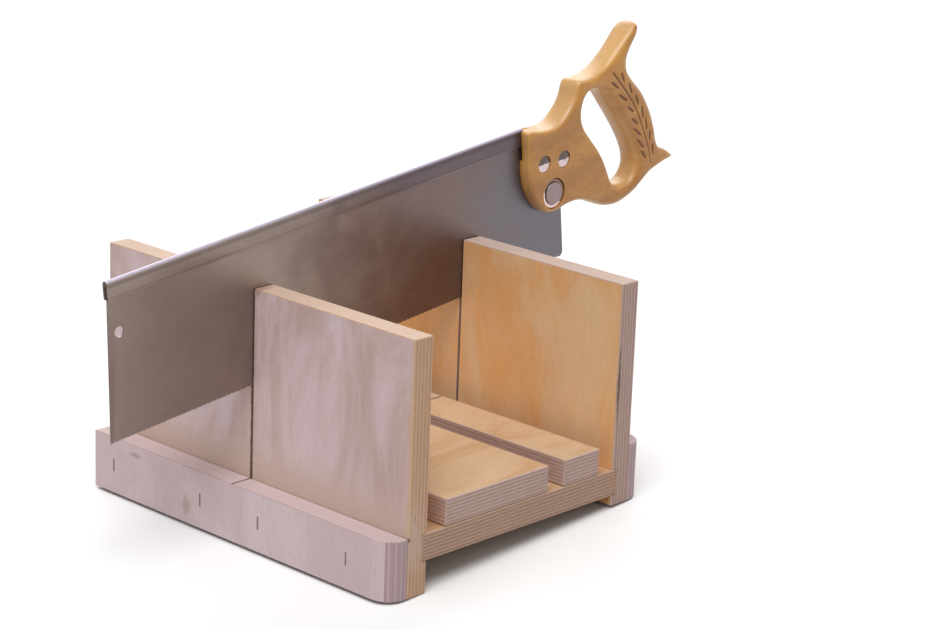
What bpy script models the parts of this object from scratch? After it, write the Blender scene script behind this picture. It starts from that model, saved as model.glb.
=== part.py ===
"""A plywood mitre box with a square kerf, and the backsaw that stands in it.

X runs across the box, Y along it and Z up. The origin is the middle of the base
plate's underside, under the kerf. The saw has a frame of its own at its heel, turned
to the tilt at which it is held, so its pieces are drawn along the tooth line.
"""

import itertools
import math

import bmesh
import bpy
from mathutils import Vector
from mathutils.geometry import delaunay_2d_cdt, interpolate_bezier

# Boards
WALL_THICK = 0.018
BASE_THICK = 0.020
BLOCK_THICK = 0.020
BOX_LENGTH = 0.318
ARRIS = 0.0006

# Walls and their feet, measured from the underside of the base
WALL_TOP = 0.161
LEFT_FOOT = 0.024
RIGHT_FOOT = 0.008
BATTEN_HEIGHT = 0.044
BATTEN_END_RADIUS = 0.0165
BATTEN_SHORT = 0.005
HOUSING_DEPTH = 0.0045

# Work rests, and the slots beside them, across the box from left to right
LEFT_SLOT = 0.0175
WIDE_BLOCK_WIDTH = 0.105
MIDDLE_SLOT = 0.0165
NARROW_BLOCK_WIDTH = 0.038
RIGHT_SLOT = 0.016

# Kerf
KERF_WIDTH = 0.0024
KERF_INTO_BASE = 0.0012

# Gap between pieces that touch, how far a cutter runs past what it cuts, and the
# distance under which two drawn points would be one
GAP = 0.0003
OVERRUN = 0.004
NO_SIZE = 0.0000001

# Staples of the battens, with their places as shares of the box's length
STAPLE_CROWN = 0.0095
STAPLE_WIDTH = 0.0013
STAPLE_DEPTH = 0.0009
STAPLE_BITE = 0.008
STAPLE_SUNK = 0.0006
STAPLE_SHARES = (0.131, 0.413, 0.608, 0.914)

# Screws, with their places as shares of the length and width they hold
SCREW_HEAD_RADIUS = 0.0040
SCREW_SHANK_RADIUS = 0.0020
SCREW_HEAD_LIP = 0.0005
SCREW_POINT = 0.006
SCREW_SUNK = 0.0003
SCREW_SIDES = 12
RECESS_LENGTH = 0.0040
RECESS_WIDTH = 0.0010
RECESS_DEPTH = 0.0012
WALL_SCREW_BITE = 0.027
BLOCK_SCREW_BITE_SHARE = 0.75
WALL_SCREW_SHARES = (0.04, 0.28, 0.72, 0.96)
WIDE_SCREW_SHARES = ((0.2, 0.25), (0.8, 0.75))
NARROW_SCREW_SHARES = ((0.5, 0.25), (0.5, 0.75))

# Saw blade
SAW_TILT = math.radians(6.9)
SAW_HEEL_OUT = 0.0966
BACK_OVER_WALL = 0.0312
BLADE_LENGTH = 0.457
BLADE_DEPTH = 0.1016
BLADE_THICK = 0.0009
TOE_LEAN = 0.010
HEEL_RADIUS = 0.0045
HEEL_STEPS = 5
TOOTH_PITCH = 0.0023
TOOTH_DEPTH = 0.0014
TOOTH_BACK_SHARE = 0.68
HANG_HOLE_RADIUS = 0.0038
HANG_HOLE_FROM_TOE = 0.0166
HANG_HOLE_UP = 0.0771

# Folded back of the saw
BACK_HEIGHT = 0.0138
BACK_THICK = 0.0054
BACK_GRIP = 0.0095
BACK_TOE_OVERHANG = 0.0012
BACK_LET_IN = 0.004
BACK_TOP_STEPS = 8
BLADE_STEP_DOWN = 0.002
GROOVE_BELOW_BACK = 0.0115

# Saw handle, whose outline is given as shares of its length and height
HANDLE_LENGTH = 0.171
HANDLE_HEIGHT = 0.142
HANDLE_THICK = 0.022
HANDLE_ON_BLADE = 0.045
HANDLE_UNDER_BACK_TOP_SHARE = 0.614
HANDLE_ROUND = 0.0045
HANDLE_ROUND_STEPS = 2
HANDLE_ROOM_SHARE = 0.7
ROOM_STEPS = 4
CURVE_STEPS = 2

# Going down the front, along the underside, up the grip and back over the horn.
# The third value is 1 where the outline has a corner.
HANDLE_OUTLINE_SHARES = (
    (0.010, 0.603, 0), (0.005, 0.588, 0), (0.006, 0.485, 0), (0.000, 0.365, 0), (0.012, 0.277, 0),
    (0.047, 0.191, 0), (0.105, 0.120, 0), (0.170, 0.106, 0), (0.234, 0.117, 0),
    (0.298, 0.118, 0), (0.363, 0.101, 0), (0.433, 0.061, 0), (0.503, 0.020, 0),
    (0.579, 0.000, 0), (0.655, 0.010, 0), (0.725, 0.039, 0), (0.784, 0.080, 0),
    (0.836, 0.114, 0), (0.912, 0.135, 0), (1.000, 0.156, 1), (0.959, 0.204, 0),
    (0.898, 0.245, 1), (0.885, 0.294, 0), (0.877, 0.365, 0), (0.850, 0.477, 0),
    (0.798, 0.594, 0), (0.731, 0.689, 0), (0.698, 0.749, 0), (0.698, 0.808, 0),
    (0.729, 0.879, 0), (0.772, 0.946, 0), (0.791, 0.986, 0), (0.772, 1.000, 0),
    (0.737, 0.975, 0), (0.690, 0.942, 0), (0.629, 0.883, 0), (0.556, 0.824, 0),
    (0.485, 0.789, 0), (0.421, 0.778, 0), (0.368, 0.783, 0), (0.345, 0.756, 0),
    (0.319, 0.692, 0), (0.272, 0.631, 0), (0.216, 0.587, 0), (0.164, 0.575, 0),
    (0.094, 0.584, 0), (0.041, 0.600, 0), (0.020, 0.605, 0),
)
HAND_HOLE_SHARES = (
    (0.439, 0.708, 0), (0.392, 0.678, 0), (0.368, 0.625, 0), (0.363, 0.569, 0),
    (0.380, 0.506, 0), (0.421, 0.437, 0), (0.468, 0.362, 0), (0.509, 0.280, 0),
    (0.541, 0.192, 0), (0.564, 0.139, 0), (0.602, 0.108, 0), (0.649, 0.099, 0),
    (0.696, 0.118, 0), (0.724, 0.168, 0), (0.727, 0.231, 0), (0.706, 0.308, 0),
    (0.670, 0.393, 0), (0.623, 0.485, 0), (0.579, 0.565, 0), (0.535, 0.646, 0),
    (0.491, 0.696, 0),
)

# Saw nuts and bolts, with their places as shares of the part of the handle that holds
# the blade, along it, and of the handle's height
NUT_HEAD_RADIUS = 0.0066
NUT_HEAD_THICK = 0.0022
NUT_DOME = 0.0004
NUT_SUNK = 0.0002
NUT_BARREL_RADIUS = 0.0036
NUT_BARREL_LENGTH = 0.006
BOLT_RADIUS = 0.0022
BOLT_IN_NUT = 0.0045
MEDALLION_RADIUS = 0.0120
MEDALLION_THICK = 0.0026
MEDALLION_SUNK = 0.0014
MEDALLION_RIM = 0.0016
MEDALLION_RAISED = 0.0012
SAW_NUT_SHARES = {"front": (0.388, 0.397), "rear": (0.882, 0.385)}
MEDALLION_SHARES = (0.597, 0.213)
ROUND_SIDES = 24

# Sizes that follow from those above
INNER_WIDTH = (LEFT_SLOT + WIDE_BLOCK_WIDTH + MIDDLE_SLOT
               + NARROW_BLOCK_WIDTH + RIGHT_SLOT)
HALF_INNER = INNER_WIDTH / 2
HALF_WIDTH = HALF_INNER + WALL_THICK
HALF_LENGTH = BOX_LENGTH / 2
HALF_KERF = KERF_WIDTH / 2
KERF_FLOOR = BASE_THICK - KERF_INTO_BASE
BLOCK_FLOOR = BASE_THICK + GAP
BLOCK_TOP = BLOCK_FLOOR + BLOCK_THICK
BACK_TOP = BLADE_DEPTH + BACK_HEIGHT
HANDLE_FRONT = -HANDLE_ON_BLADE
HANDLE_FLOOR = BACK_TOP - HANDLE_UNDER_BACK_TOP_SHARE * HANDLE_HEIGHT
HALF_HANDLE = HANDLE_THICK / 2


def clear_scene():
    for old in list(bpy.data.objects):
        bpy.data.objects.remove(old, do_unlink=True)


def make_material(name, colour, roughness, metallic):
    material = bpy.data.materials.new(name)
    material.use_nodes = True
    shader = material.node_tree.nodes["Principled BSDF"]
    shader.inputs["Base Color"].default_value = (*colour, 1.0)
    shader.inputs["Roughness"].default_value = roughness
    shader.inputs["Metallic"].default_value = metallic
    return material


def wall_plywood(name):
    return make_material(name + "_plywood", (0.48, 0.37, 0.33), 0.65, 0.0)


def rest_plywood(name):
    return make_material(name + "_plywood", (0.46, 0.31, 0.20), 0.60, 0.0)


def handle_wood(name):
    return make_material(name + "_beech", (0.43, 0.21, 0.075), 0.42, 0.0)


def blade_steel(name):
    return make_material(name + "_steel", (0.20, 0.17, 0.155), 0.40, 0.9)


def bright_metal(name):
    return make_material(name + "_bright", (0.42, 0.36, 0.36), 0.32, 1.0)


def dull_zinc(name):
    return make_material(name + "_zinc", (0.38, 0.37, 0.36), 0.45, 1.0)


def add_object(name, mesh, material=None):
    piece = bpy.data.objects.new(name, mesh)
    bpy.context.scene.collection.objects.link(piece)
    if material is not None and not mesh.materials:
        mesh.materials.append(material)
    return piece


def mesh_from_bmesh(name, shape):
    bmesh.ops.recalc_face_normals(shape, faces=shape.faces)
    mesh = bpy.data.meshes.new(name)
    shape.to_mesh(mesh)
    shape.free()
    return mesh


def smooth_round(mesh):
    mesh.shade_smooth()
    mesh.set_sharp_from_angle(angle=math.radians(35))


def box_mesh(name, low, high):
    shape = bmesh.new()
    corners = {}
    for corner in itertools.product((0, 1), repeat=3):
        place = [(low, high)[end][axis] for axis, end in enumerate(corner)]
        corners[corner] = shape.verts.new(place)
    for axis in range(3):
        for end in (0, 1):
            ring = []
            for pair in ((0, 0), (0, 1), (1, 1), (1, 0)):
                corner = pair[:axis] + (end,) + pair[axis:]
                ring.append(corners[corner])
            shape.faces.new(ring)
    return mesh_from_bmesh(name, shape)


def goes_left(loop):
    """Whether a loop of drawn points turns to the left, and so has its inside there."""
    turning = 0
    for here, point in enumerate(loop):
        before = loop[here - 1]
        turning += before[0] * point[1] - before[1] * point[0]
    return turning > 0


def fill(loops):
    """Triangles between an outline and its holes, as places in their joined list of points."""
    points = []
    outlines = []
    for loop in loops:
        places = list(range(len(points), len(points) + len(loop)))
        outlines.append(places if goes_left(loop) else places[::-1])
        points += [Vector(point) for point in loop]
    _, _, triangles, sources, _, owners = delaunay_2d_cdt(points, [], outlines, 1, NO_SIZE)
    filled = []
    for triangle, owner in zip(triangles, owners):
        if owner == [0]:
            filled.append([sources[corner][0] for corner in triangle])
    return filled


def prism_mesh(name, outline, holes, low, high, place):
    """A plate with holes: loops drawn in a plane, and thick from low to high.

    place turns a point of the plane and a height into a point in space."""
    shape = bmesh.new()
    loops = [outline] + holes
    sheets = []
    for height in (low, high):
        sheets.append([[shape.verts.new(place(point, height)) for point in loop] for loop in loops])
    for lower, upper in zip(*sheets):
        for here in range(len(lower)):
            shape.faces.new((lower[here - 1], lower[here], upper[here], upper[here - 1]))
    for sheet in sheets:
        corners = [corner for loop in sheet for corner in loop]
        for triangle in fill(loops):
            shape.faces.new([corners[corner] for corner in triangle])
    return mesh_from_bmesh(name, shape)


def turned_mesh(name, profile, sides):
    """A closed turned piece: (radius, height) points from end to end, about Z."""
    shape = bmesh.new()
    rings = []
    for radius, height in profile:
        if radius == 0:
            rings.append([shape.verts.new((0, 0, height))])
            continue
        ring = []
        for side in range(sides):
            turn = 2 * math.pi * side / sides
            place = (radius * math.cos(turn), radius * math.sin(turn), height)
            ring.append(shape.verts.new(place))
        rings.append(ring)
    for lower, upper in zip(rings, rings[1:]):
        for side in range(sides):
            after = (side + 1) % sides
            if len(lower) == 1:
                shape.faces.new((lower[0], upper[side], upper[after]))
            elif len(upper) == 1:
                shape.faces.new((lower[side], upper[0], lower[after]))
            else:
                shape.faces.new((lower[side], upper[side], upper[after], lower[after]))
    mesh = mesh_from_bmesh(name, shape)
    smooth_round(mesh)
    return mesh


def arc(centre, radius, start, end, steps):
    points = []
    for step in range(steps + 1):
        turn = start + (end - start) * step / steps
        points.append((centre[0] + radius * math.cos(turn), centre[1] + radius * math.sin(turn)))
    return points


def circle(centre, radius, sides):
    return arc(centre, radius, 0, 2 * math.pi * (sides - 1) / sides, sides - 1)


def make_cutter(name, mesh):
    cutter = add_object("cut_" + name, mesh)
    cutter.hide_render = True
    cutter.display_type = "WIRE"
    return cutter


def box_cutter(name, low, high):
    return make_cutter(name, box_mesh("cut_" + name, low, high))


def cut(piece, cutter):
    modifier = piece.modifiers.new(cutter.name, "BOOLEAN")
    modifier.operation = "DIFFERENCE"
    modifier.solver = "EXACT"
    modifier.object = cutter


def settle(piece):
    """Give a piece the mesh that its modifiers make, and drop them."""
    depsgraph = bpy.context.evaluated_depsgraph_get()
    mesh = bpy.data.meshes.new_from_object(piece.evaluated_get(depsgraph))
    piece.modifiers.clear()
    piece.data = mesh
    return mesh


def ease_edges(piece):
    modifier = piece.modifiers.new("arris", "BEVEL")
    modifier.width = ARRIS
    modifier.segments = 1
    modifier.limit_method = "ANGLE"
    modifier.angle_limit = math.radians(60)


def add_board(name, low, high, material):
    piece = add_object(name, box_mesh(name, low, high), material)
    ease_edges(piece)
    return piece


def kerf_cutter():
    reach = HALF_WIDTH + WALL_THICK + OVERRUN
    low = (-reach, -HALF_KERF, KERF_FLOOR)
    high = (reach, HALF_KERF, WALL_TOP + OVERRUN)
    return box_cutter("kerf", low, high)


def add_base_plate():
    half = HALF_INNER + HOUSING_DEPTH - GAP
    low = (-half, -HALF_LENGTH, 0)
    high = (half, HALF_LENGTH, BASE_THICK)
    return add_board("base_plate", low, high, rest_plywood("base_plate"))


def add_wall(side_name, side, foot):
    """A wall board, with the housing that takes the edge of the base plate."""
    faces = sorted((side * HALF_INNER, side * HALF_WIDTH))
    low = (faces[0], -HALF_LENGTH, -foot)
    high = (faces[1], HALF_LENGTH, WALL_TOP)
    wall = add_board(side_name + "_wall", low, high, wall_plywood(side_name + "_wall"))
    depth = sorted((side * (HALF_INNER - OVERRUN), side * (HALF_INNER + HOUSING_DEPTH)))
    low = (depth[0], -HALF_LENGTH - OVERRUN, -GAP)
    high = (depth[1], HALF_LENGTH + OVERRUN, BASE_THICK + GAP)
    cut(wall, box_cutter(side_name + "_housing", low, high))
    return wall


def batten_outline(side):
    """The batten from above: rounded at the open end, square and short at the rear."""
    inner = HALF_WIDTH + GAP
    outer = inner + WALL_THICK
    radius = min(BATTEN_END_RADIUS, WALL_THICK - GAP)
    rear = HALF_LENGTH - BATTEN_SHORT
    points = [(inner, -HALF_LENGTH)]
    points += arc((outer - radius, radius - HALF_LENGTH), radius, -math.pi / 2, 0, HEEL_STEPS)
    points += [(outer, rear), (inner, rear)]
    return [(side * across, along) for across, along in points]


def add_batten(side_name, side, foot):
    name = side_name + "_batten"
    mesh = prism_mesh(name, batten_outline(side), [], -foot, BATTEN_HEIGHT - foot,
                      lambda point, height: (point[0], point[1], height))
    batten = add_object(name, mesh, wall_plywood(name))
    ease_edges(batten)
    return batten


def add_block_halves(name, left, width):
    """A work rest screwed down in one piece, then sawn in two by the kerf."""
    halves = []
    low = (left, -HALF_LENGTH, BLOCK_FLOOR)
    high = (left + width, HALF_LENGTH, BLOCK_TOP)
    for end, side in (("front", -1), ("rear", 1)):
        piece = add_board(name + "_" + end, low, high, rest_plywood(name + "_" + end))
        kerf_face = side * HALF_KERF
        beyond = -side * (HALF_LENGTH + OVERRUN)
        saw_off = box_cutter(
            piece.name + "_sawn_off",
            (left - OVERRUN, min(kerf_face, beyond), BLOCK_FLOOR - OVERRUN),
            (left + width + OVERRUN, max(kerf_face, beyond), BLOCK_TOP + OVERRUN))
        cut(piece, saw_off)
        halves.append(piece)
    return halves


def screw_profile(length, grown):
    """Half outline of a countersunk screw, head at zero and point below it."""
    head = SCREW_HEAD_RADIUS + grown
    shank = SCREW_SHANK_RADIUS + grown
    lip = -SCREW_HEAD_LIP
    neck = lip - (SCREW_HEAD_RADIUS - SCREW_SHANK_RADIUS)
    return [(head, 0), (head, lip), (shank, neck), (shank, SCREW_POINT - length), (0, -length - grown)]


def screw_mesh(name, length, material):
    """One screw with a cross recess in its head, shared by all of its length."""
    profile = [(0, 0)] + screw_profile(length, 0)
    blank = add_object(name, turned_mesh(name, profile, SCREW_SIDES), material)
    long_way = (RECESS_LENGTH / 2, RECESS_WIDTH / 2)
    cutters = []
    for number, half in enumerate((long_way, long_way[::-1])):
        low = (-half[0], -half[1], -RECESS_DEPTH)
        high = (half[0], half[1], OVERRUN)
        cutters.append(box_cutter(name + "_recess_" + str(number + 1), low, high))
        cut(blank, cutters[-1])
    mesh = settle(blank)
    for spare in [blank] + cutters:
        bpy.data.objects.remove(spare)
    return mesh


def add_screw(name, mesh, length, place, axis, boards):
    """A screw whose head lies just under place, pointing along axis, in its own hole."""
    turn = (-Vector(axis)).to_track_quat("Z", "Y").to_euler()
    screw = add_object(name, mesh)
    screw.location = Vector(place) + Vector(axis) * SCREW_SUNK
    screw.rotation_euler = turn
    grown = screw_profile(length, GAP)
    above = [(0, OVERRUN), (grown[0][0], OVERRUN)]
    hole = make_cutter(name, turned_mesh("cut_" + name, above + grown, SCREW_SIDES))
    hole.location = screw.location
    hole.rotation_euler = turn
    for board in boards:
        cut(board, hole)
    return screw


def share_along(share):
    return (share * 2 - 1) * HALF_LENGTH


def add_wall_screws(walls, base):
    length = WALL_THICK - HOUSING_DEPTH + WALL_SCREW_BITE
    mesh = screw_mesh("wall_screw", length, dull_zinc("wall_screw"))
    for side_name, side, wall in walls:
        for number, share in enumerate(WALL_SCREW_SHARES):
            name = side_name + "_wall_screw_" + str(number + 1)
            place = (side * HALF_WIDTH, share_along(share), BASE_THICK / 2)
            add_screw(name, mesh, length, place, (-side, 0, 0), (wall, base))


def add_block_screws(name, left, width, halves, shares, base, mesh, length):
    """Two screws from below into each half of a work rest."""
    for half, side in zip(halves, (-1, 1)):
        for number, (across, along) in enumerate(shares):
            near = HALF_KERF + along * (HALF_LENGTH - HALF_KERF)
            place = (left + across * width, side * near, 0)
            screw_name = half.name + "_screw_" + str(number + 1)
            add_screw(screw_name, mesh, length, place, (0, 0, 1), (base, half))


def staple_boxes(grown):
    """The crown and two legs of a staple, crown at zero and legs along +X."""
    half = STAPLE_CROWN / 2 + grown
    wide = STAPLE_WIDTH / 2 + grown
    leg_end = WALL_THICK + GAP + STAPLE_BITE + grown
    inner = half - STAPLE_WIDTH - 2 * grown
    crown = [(0, -half), (leg_end, -half), (leg_end, -inner), (STAPLE_DEPTH + grown, -inner),
             (STAPLE_DEPTH + grown, inner), (leg_end, inner), (leg_end, half), (0, half)]
    return crown, wide


def staple_mesh(name, grown, proud):
    outline, wide = staple_boxes(grown)
    outline = [(along - proud if along == 0 else along, up) for along, up in outline]
    return prism_mesh(name, outline, [], -wide, wide,
                      lambda point, height: (point[0], height, point[1]))


def add_staples(side_name, side, foot, batten, wall):
    """Staples through the batten into the wall, sunk a hair below its face."""
    mesh = staple_mesh(side_name + "_staple", 0, 0)
    mesh.materials.append(dull_zinc(side_name + "_staple"))
    face = HALF_WIDTH + GAP + WALL_THICK - STAPLE_SUNK
    turn = math.pi if side > 0 else 0
    for number, share in enumerate(STAPLE_SHARES):
        name = side_name + "_staple_" + str(number + 1)
        staple = add_object(name, mesh)
        staple.location = (side * face, share_along(share), BATTEN_HEIGHT / 2 - foot)
        staple.rotation_euler.z = turn
        hole = make_cutter(name, staple_mesh("cut_" + name, GAP, OVERRUN))
        hole.location = staple.location
        hole.rotation_euler.z = turn
        cut(batten, hole)
        cut(wall, hole)


def saw_frame():
    """An empty at the saw's heel, on the tooth line, which is the line it slides along."""
    frame = bpy.data.objects.new("saw_frame", None)
    bpy.context.scene.collection.objects.link(frame)
    heel_x = HALF_WIDTH + SAW_HEEL_OUT
    over_left_wall = WALL_TOP + BACK_OVER_WALL
    run = heel_x + HALF_WIDTH
    heel_z = over_left_wall + run * math.tan(SAW_TILT) - BLADE_DEPTH / math.cos(SAW_TILT)
    frame.location = (heel_x, 0, heel_z)
    frame.rotation_euler.y = -SAW_TILT
    return frame


def on_saw(piece, frame):
    piece.parent = frame
    return piece


def upright(point, height):
    """Places a point drawn on the saw's side, (along, up), at a distance along Y."""
    return (point[0], height, point[1])


def tooth_line():
    run = BLADE_LENGTH - HEEL_RADIUS
    count = int(round(run / TOOTH_PITCH))
    pitch = run / count
    points = []
    for tooth in range(count):
        tip = -BLADE_LENGTH + tooth * pitch
        points.append((tip, 0))
        points.append((tip + TOOTH_BACK_SHARE * pitch, TOOTH_DEPTH))
    return points


def handle_point(share):
    return (HANDLE_FRONT + share[0] * HANDLE_LENGTH, HANDLE_FLOOR + share[1] * HANDLE_HEIGHT)


def fastener_point(share):
    return (HANDLE_FRONT + share[0] * HANDLE_ON_BLADE, HANDLE_FLOOR + share[1] * HANDLE_HEIGHT)


def add_blade(frame):
    top = BLADE_DEPTH + BACK_GRIP
    step = HANDLE_FRONT + BACK_LET_IN - 2 * GAP
    low_top = BLADE_DEPTH - BLADE_STEP_DOWN
    outline = tooth_line()
    outline += arc((-HEEL_RADIUS, HEEL_RADIUS), HEEL_RADIUS, -math.pi / 2, 0, HEEL_STEPS)
    outline += [(0, low_top), (step, low_top), (step, top), (-BLADE_LENGTH + TOE_LEAN, top)]
    hang = (-BLADE_LENGTH + HANG_HOLE_FROM_TOE, HANG_HOLE_UP)
    holes = [circle(hang, HANG_HOLE_RADIUS, ROUND_SIDES)]
    for share in list(SAW_NUT_SHARES.values()) + [MEDALLION_SHARES]:
        holes.append(circle(fastener_point(share), BOLT_RADIUS + GAP, ROUND_SIDES))
    half = BLADE_THICK / 2
    mesh = prism_mesh("saw_blade", outline, holes, -half, half, upright)
    return on_saw(add_object("saw_blade", mesh, blade_steel("saw_blade")), frame)


def add_back(frame):
    """The folded strip along the top of the blade, open downwards."""
    half = BACK_THICK / 2
    slot = BLADE_THICK / 2 + GAP
    crest = arc((0, BACK_TOP - half), half, math.pi, 0, BACK_TOP_STEPS)
    profile = [(-half, BLADE_DEPTH)] + crest + [(half, BLADE_DEPTH)]
    slot_top = BLADE_DEPTH + BACK_GRIP + GAP
    profile += [(slot, BLADE_DEPTH), (slot, slot_top), (-slot, slot_top), (-slot, BLADE_DEPTH)]
    start = -BLADE_LENGTH + TOE_LEAN - BACK_TOE_OVERHANG
    end = HANDLE_FRONT + BACK_LET_IN - GAP
    mesh = prism_mesh("saw_back", profile, [], start, end,
                      lambda point, height: (height, point[0], point[1]))
    smooth_round(mesh)
    return on_saw(add_object("saw_back", mesh, blade_steel("saw_back")), frame)


def smooth_loop(points, steps):
    """A closed curve through points, each (x, y, corner), with corners kept sharp."""
    spots = [Vector((x, y, 0)) for x, y, _ in points]
    count = len(spots)
    headings = []
    for here in range(count):
        ahead = spots[(here + 1) % count] - spots[here - 1]
        headings.append(Vector() if points[here][2] else ahead.normalized())
    curve = []
    for here in range(count):
        after = (here + 1) % count
        pull = (spots[after] - spots[here]).length / 3
        stretch = interpolate_bezier(spots[here], spots[here] + headings[here] * pull,
                                     spots[after] - headings[after] * pull, spots[after], steps + 1)
        curve += [Vector((spot.x, spot.y)) for spot in stretch[:-1]]
    return curve


def into_wood(loop, side):
    """For each point of a loop, the way into the wood and the room there.

    The room is the radius of the largest circle that fits in the loop's own wood and
    touches the point. side is 1 on the outline and -1 round a hole."""
    ways = []
    others = []
    for here, spot in enumerate(loop):
        for step in range(ROOM_STEPS):
            others.append(spot.lerp(loop[here - 1], step / ROOM_STEPS))
    for here, spot in enumerate(loop):
        heading = (loop[(here + 1) % len(loop)] - loop[here - 1]).normalized()
        way = Vector((-heading.y, heading.x)) * side
        room = HANDLE_LENGTH
        for other in others:
            apart = other - spot
            facing = apart.dot(way)
            if facing > 0:
                room = min(room, apart.length_squared / (2 * facing))
        ways.append((way, room))
    return ways


def rounded_handle_mesh(name, loops):
    """The handle between two faces, with its edges rounded as far as the wood allows."""
    shape = bmesh.new()
    caps = {-1: [], 1: []}
    for loop, side in loops:
        ways = into_wood(loop, side)
        rings = []
        for face in (-1, 1):
            levels = range(HANDLE_ROUND_STEPS + 1)
            for level in levels if face > 0 else reversed(levels):
                turn = level / HANDLE_ROUND_STEPS * math.pi / 2
                ring = []
                for spot, (way, room) in zip(loop, ways):
                    radius = min(HANDLE_ROUND, HANDLE_ROOM_SHARE * room)
                    point = spot + way * radius * (1 - math.cos(turn))
                    across = face * (HALF_HANDLE - radius * (1 - math.sin(turn)))
                    ring.append(shape.verts.new((point.x, across, point.y)))
                rings.append(ring)
        for lower, upper in zip(rings, rings[1:]):
            for here in range(len(loop)):
                shape.faces.new((lower[here - 1], lower[here], upper[here], upper[here - 1]))
        caps[-1].append(rings[0])
        caps[1].append(rings[-1])
    for rings in caps.values():
        corners = [corner for ring in rings for corner in ring]
        for triangle in fill([[corner.co.xz for corner in ring] for ring in rings]):
            shape.faces.new([corners[corner] for corner in triangle])
    mesh = mesh_from_bmesh(name, shape)
    smooth_round(mesh)
    return mesh


def add_handle(frame):
    loops = []
    for shares, side in ((HANDLE_OUTLINE_SHARES, 1), (HAND_HOLE_SHARES, -1)):
        points = [(*handle_point(share), share[2]) for share in shares]
        loops.append((smooth_loop(points, CURVE_STEPS), side))
    mesh = rounded_handle_mesh("saw_handle", loops)
    handle = on_saw(add_object("saw_handle", mesh, handle_wood("saw_handle")), frame)
    half_slot = BLADE_THICK / 2 + GAP
    half_groove = BACK_THICK / 2 + GAP
    before = HANDLE_FRONT - OVERRUN
    slot = box_cutter("blade_slot", (before, -half_slot, HANDLE_FLOOR - OVERRUN),
                      (GAP, half_slot, BLADE_DEPTH - BLADE_STEP_DOWN + GAP))
    groove = box_cutter("back_groove", (before, -half_groove, BLADE_DEPTH - GROOVE_BELOW_BACK),
                        (HANDLE_FRONT + BACK_LET_IN, half_groove, BACK_TOP + OVERRUN))
    for cutter in (slot, groove):
        cut(handle, on_saw(cutter, frame))
    return handle


def nut_profile():
    """A capped nut with its head up: (radius, height) from its bore out to its head."""
    bore = BOLT_RADIUS + GAP
    return [(0, -NUT_HEAD_THICK), (bore, -NUT_HEAD_THICK),
            (bore, -NUT_HEAD_THICK - NUT_BARREL_LENGTH),
            (NUT_BARREL_RADIUS, -NUT_HEAD_THICK - NUT_BARREL_LENGTH),
            (NUT_BARREL_RADIUS, -NUT_HEAD_THICK), (NUT_HEAD_RADIUS, -NUT_HEAD_THICK),
            (NUT_HEAD_RADIUS, -NUT_DOME), (0, 0)]


def bolt_profile(radius, thick, rim, raised, length):
    """A bolt with its head up; the large one has a flat disc raised inside its rim."""
    face = [(radius, -NUT_DOME), (0, 0)] if rim == 0 else [
        (radius, 0), (radius - rim, 0), (radius - rim - raised, raised), (0, raised)]
    return [(0, -length), (BOLT_RADIUS, -length), (BOLT_RADIUS, -thick), (radius, -thick)] + face


def fastener_hole(radius, thick, sunk):
    """The hole for a bolt and its nut, from above the bolt's head to beyond the nut's."""
    nut_end = sunk - HANDLE_THICK + NUT_SUNK
    barrel = nut_end + NUT_HEAD_THICK + NUT_BARREL_LENGTH + GAP
    nut_head = nut_end + NUT_HEAD_THICK + GAP
    shank = BOLT_RADIUS + GAP
    return [(0, OVERRUN), (radius + GAP, OVERRUN), (radius + GAP, -thick - GAP),
            (shank, -thick - GAP), (shank, barrel),
            (NUT_BARREL_RADIUS + GAP, barrel), (NUT_BARREL_RADIUS + GAP, nut_head),
            (NUT_HEAD_RADIUS + GAP, nut_head), (NUT_HEAD_RADIUS + GAP, nut_end - OVERRUN),
            (0, nut_end - OVERRUN)]


def place_fastener(piece, frame, share, side, sunk):
    """Lay a fastener's head on one side of the handle: -1 is the left side, 1 the right."""
    on_saw(piece, frame)
    along, up = fastener_point(share)
    piece.location = (along, side * (HALF_HANDLE - sunk), up)
    piece.rotation_euler.x = -side * math.pi / 2
    return piece


def add_saw_bolt(label, share, frame, handle, bolt_side, head):
    """A bolt through handle and blade, and the nut on its end, each in its recess."""
    radius, thick, sunk, rim, raised = head
    grip = HANDLE_THICK - sunk - NUT_SUNK
    end = grip - NUT_HEAD_THICK - NUT_BARREL_LENGTH + BOLT_IN_NUT
    bolt_name = "saw_bolt_" + label if rim == 0 else "medallion_bolt"
    nut_name = "saw_nut_" + label if rim == 0 else "medallion_nut"
    bolt = turned_mesh(bolt_name, bolt_profile(radius, thick, rim, raised, end), ROUND_SIDES)
    bolt = add_object(bolt_name, bolt, bright_metal(bolt_name))
    place_fastener(bolt, frame, share, bolt_side, sunk)
    nut = turned_mesh(nut_name, nut_profile(), ROUND_SIDES)
    nut = add_object(nut_name, nut, bright_metal(nut_name))
    place_fastener(nut, frame, share, -bolt_side, NUT_SUNK)
    profile = fastener_hole(radius, thick, sunk)
    hole = make_cutter(bolt_name, turned_mesh("cut_" + bolt_name, profile, ROUND_SIDES))
    cut(handle, place_fastener(hole, frame, share, bolt_side, sunk))


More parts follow.
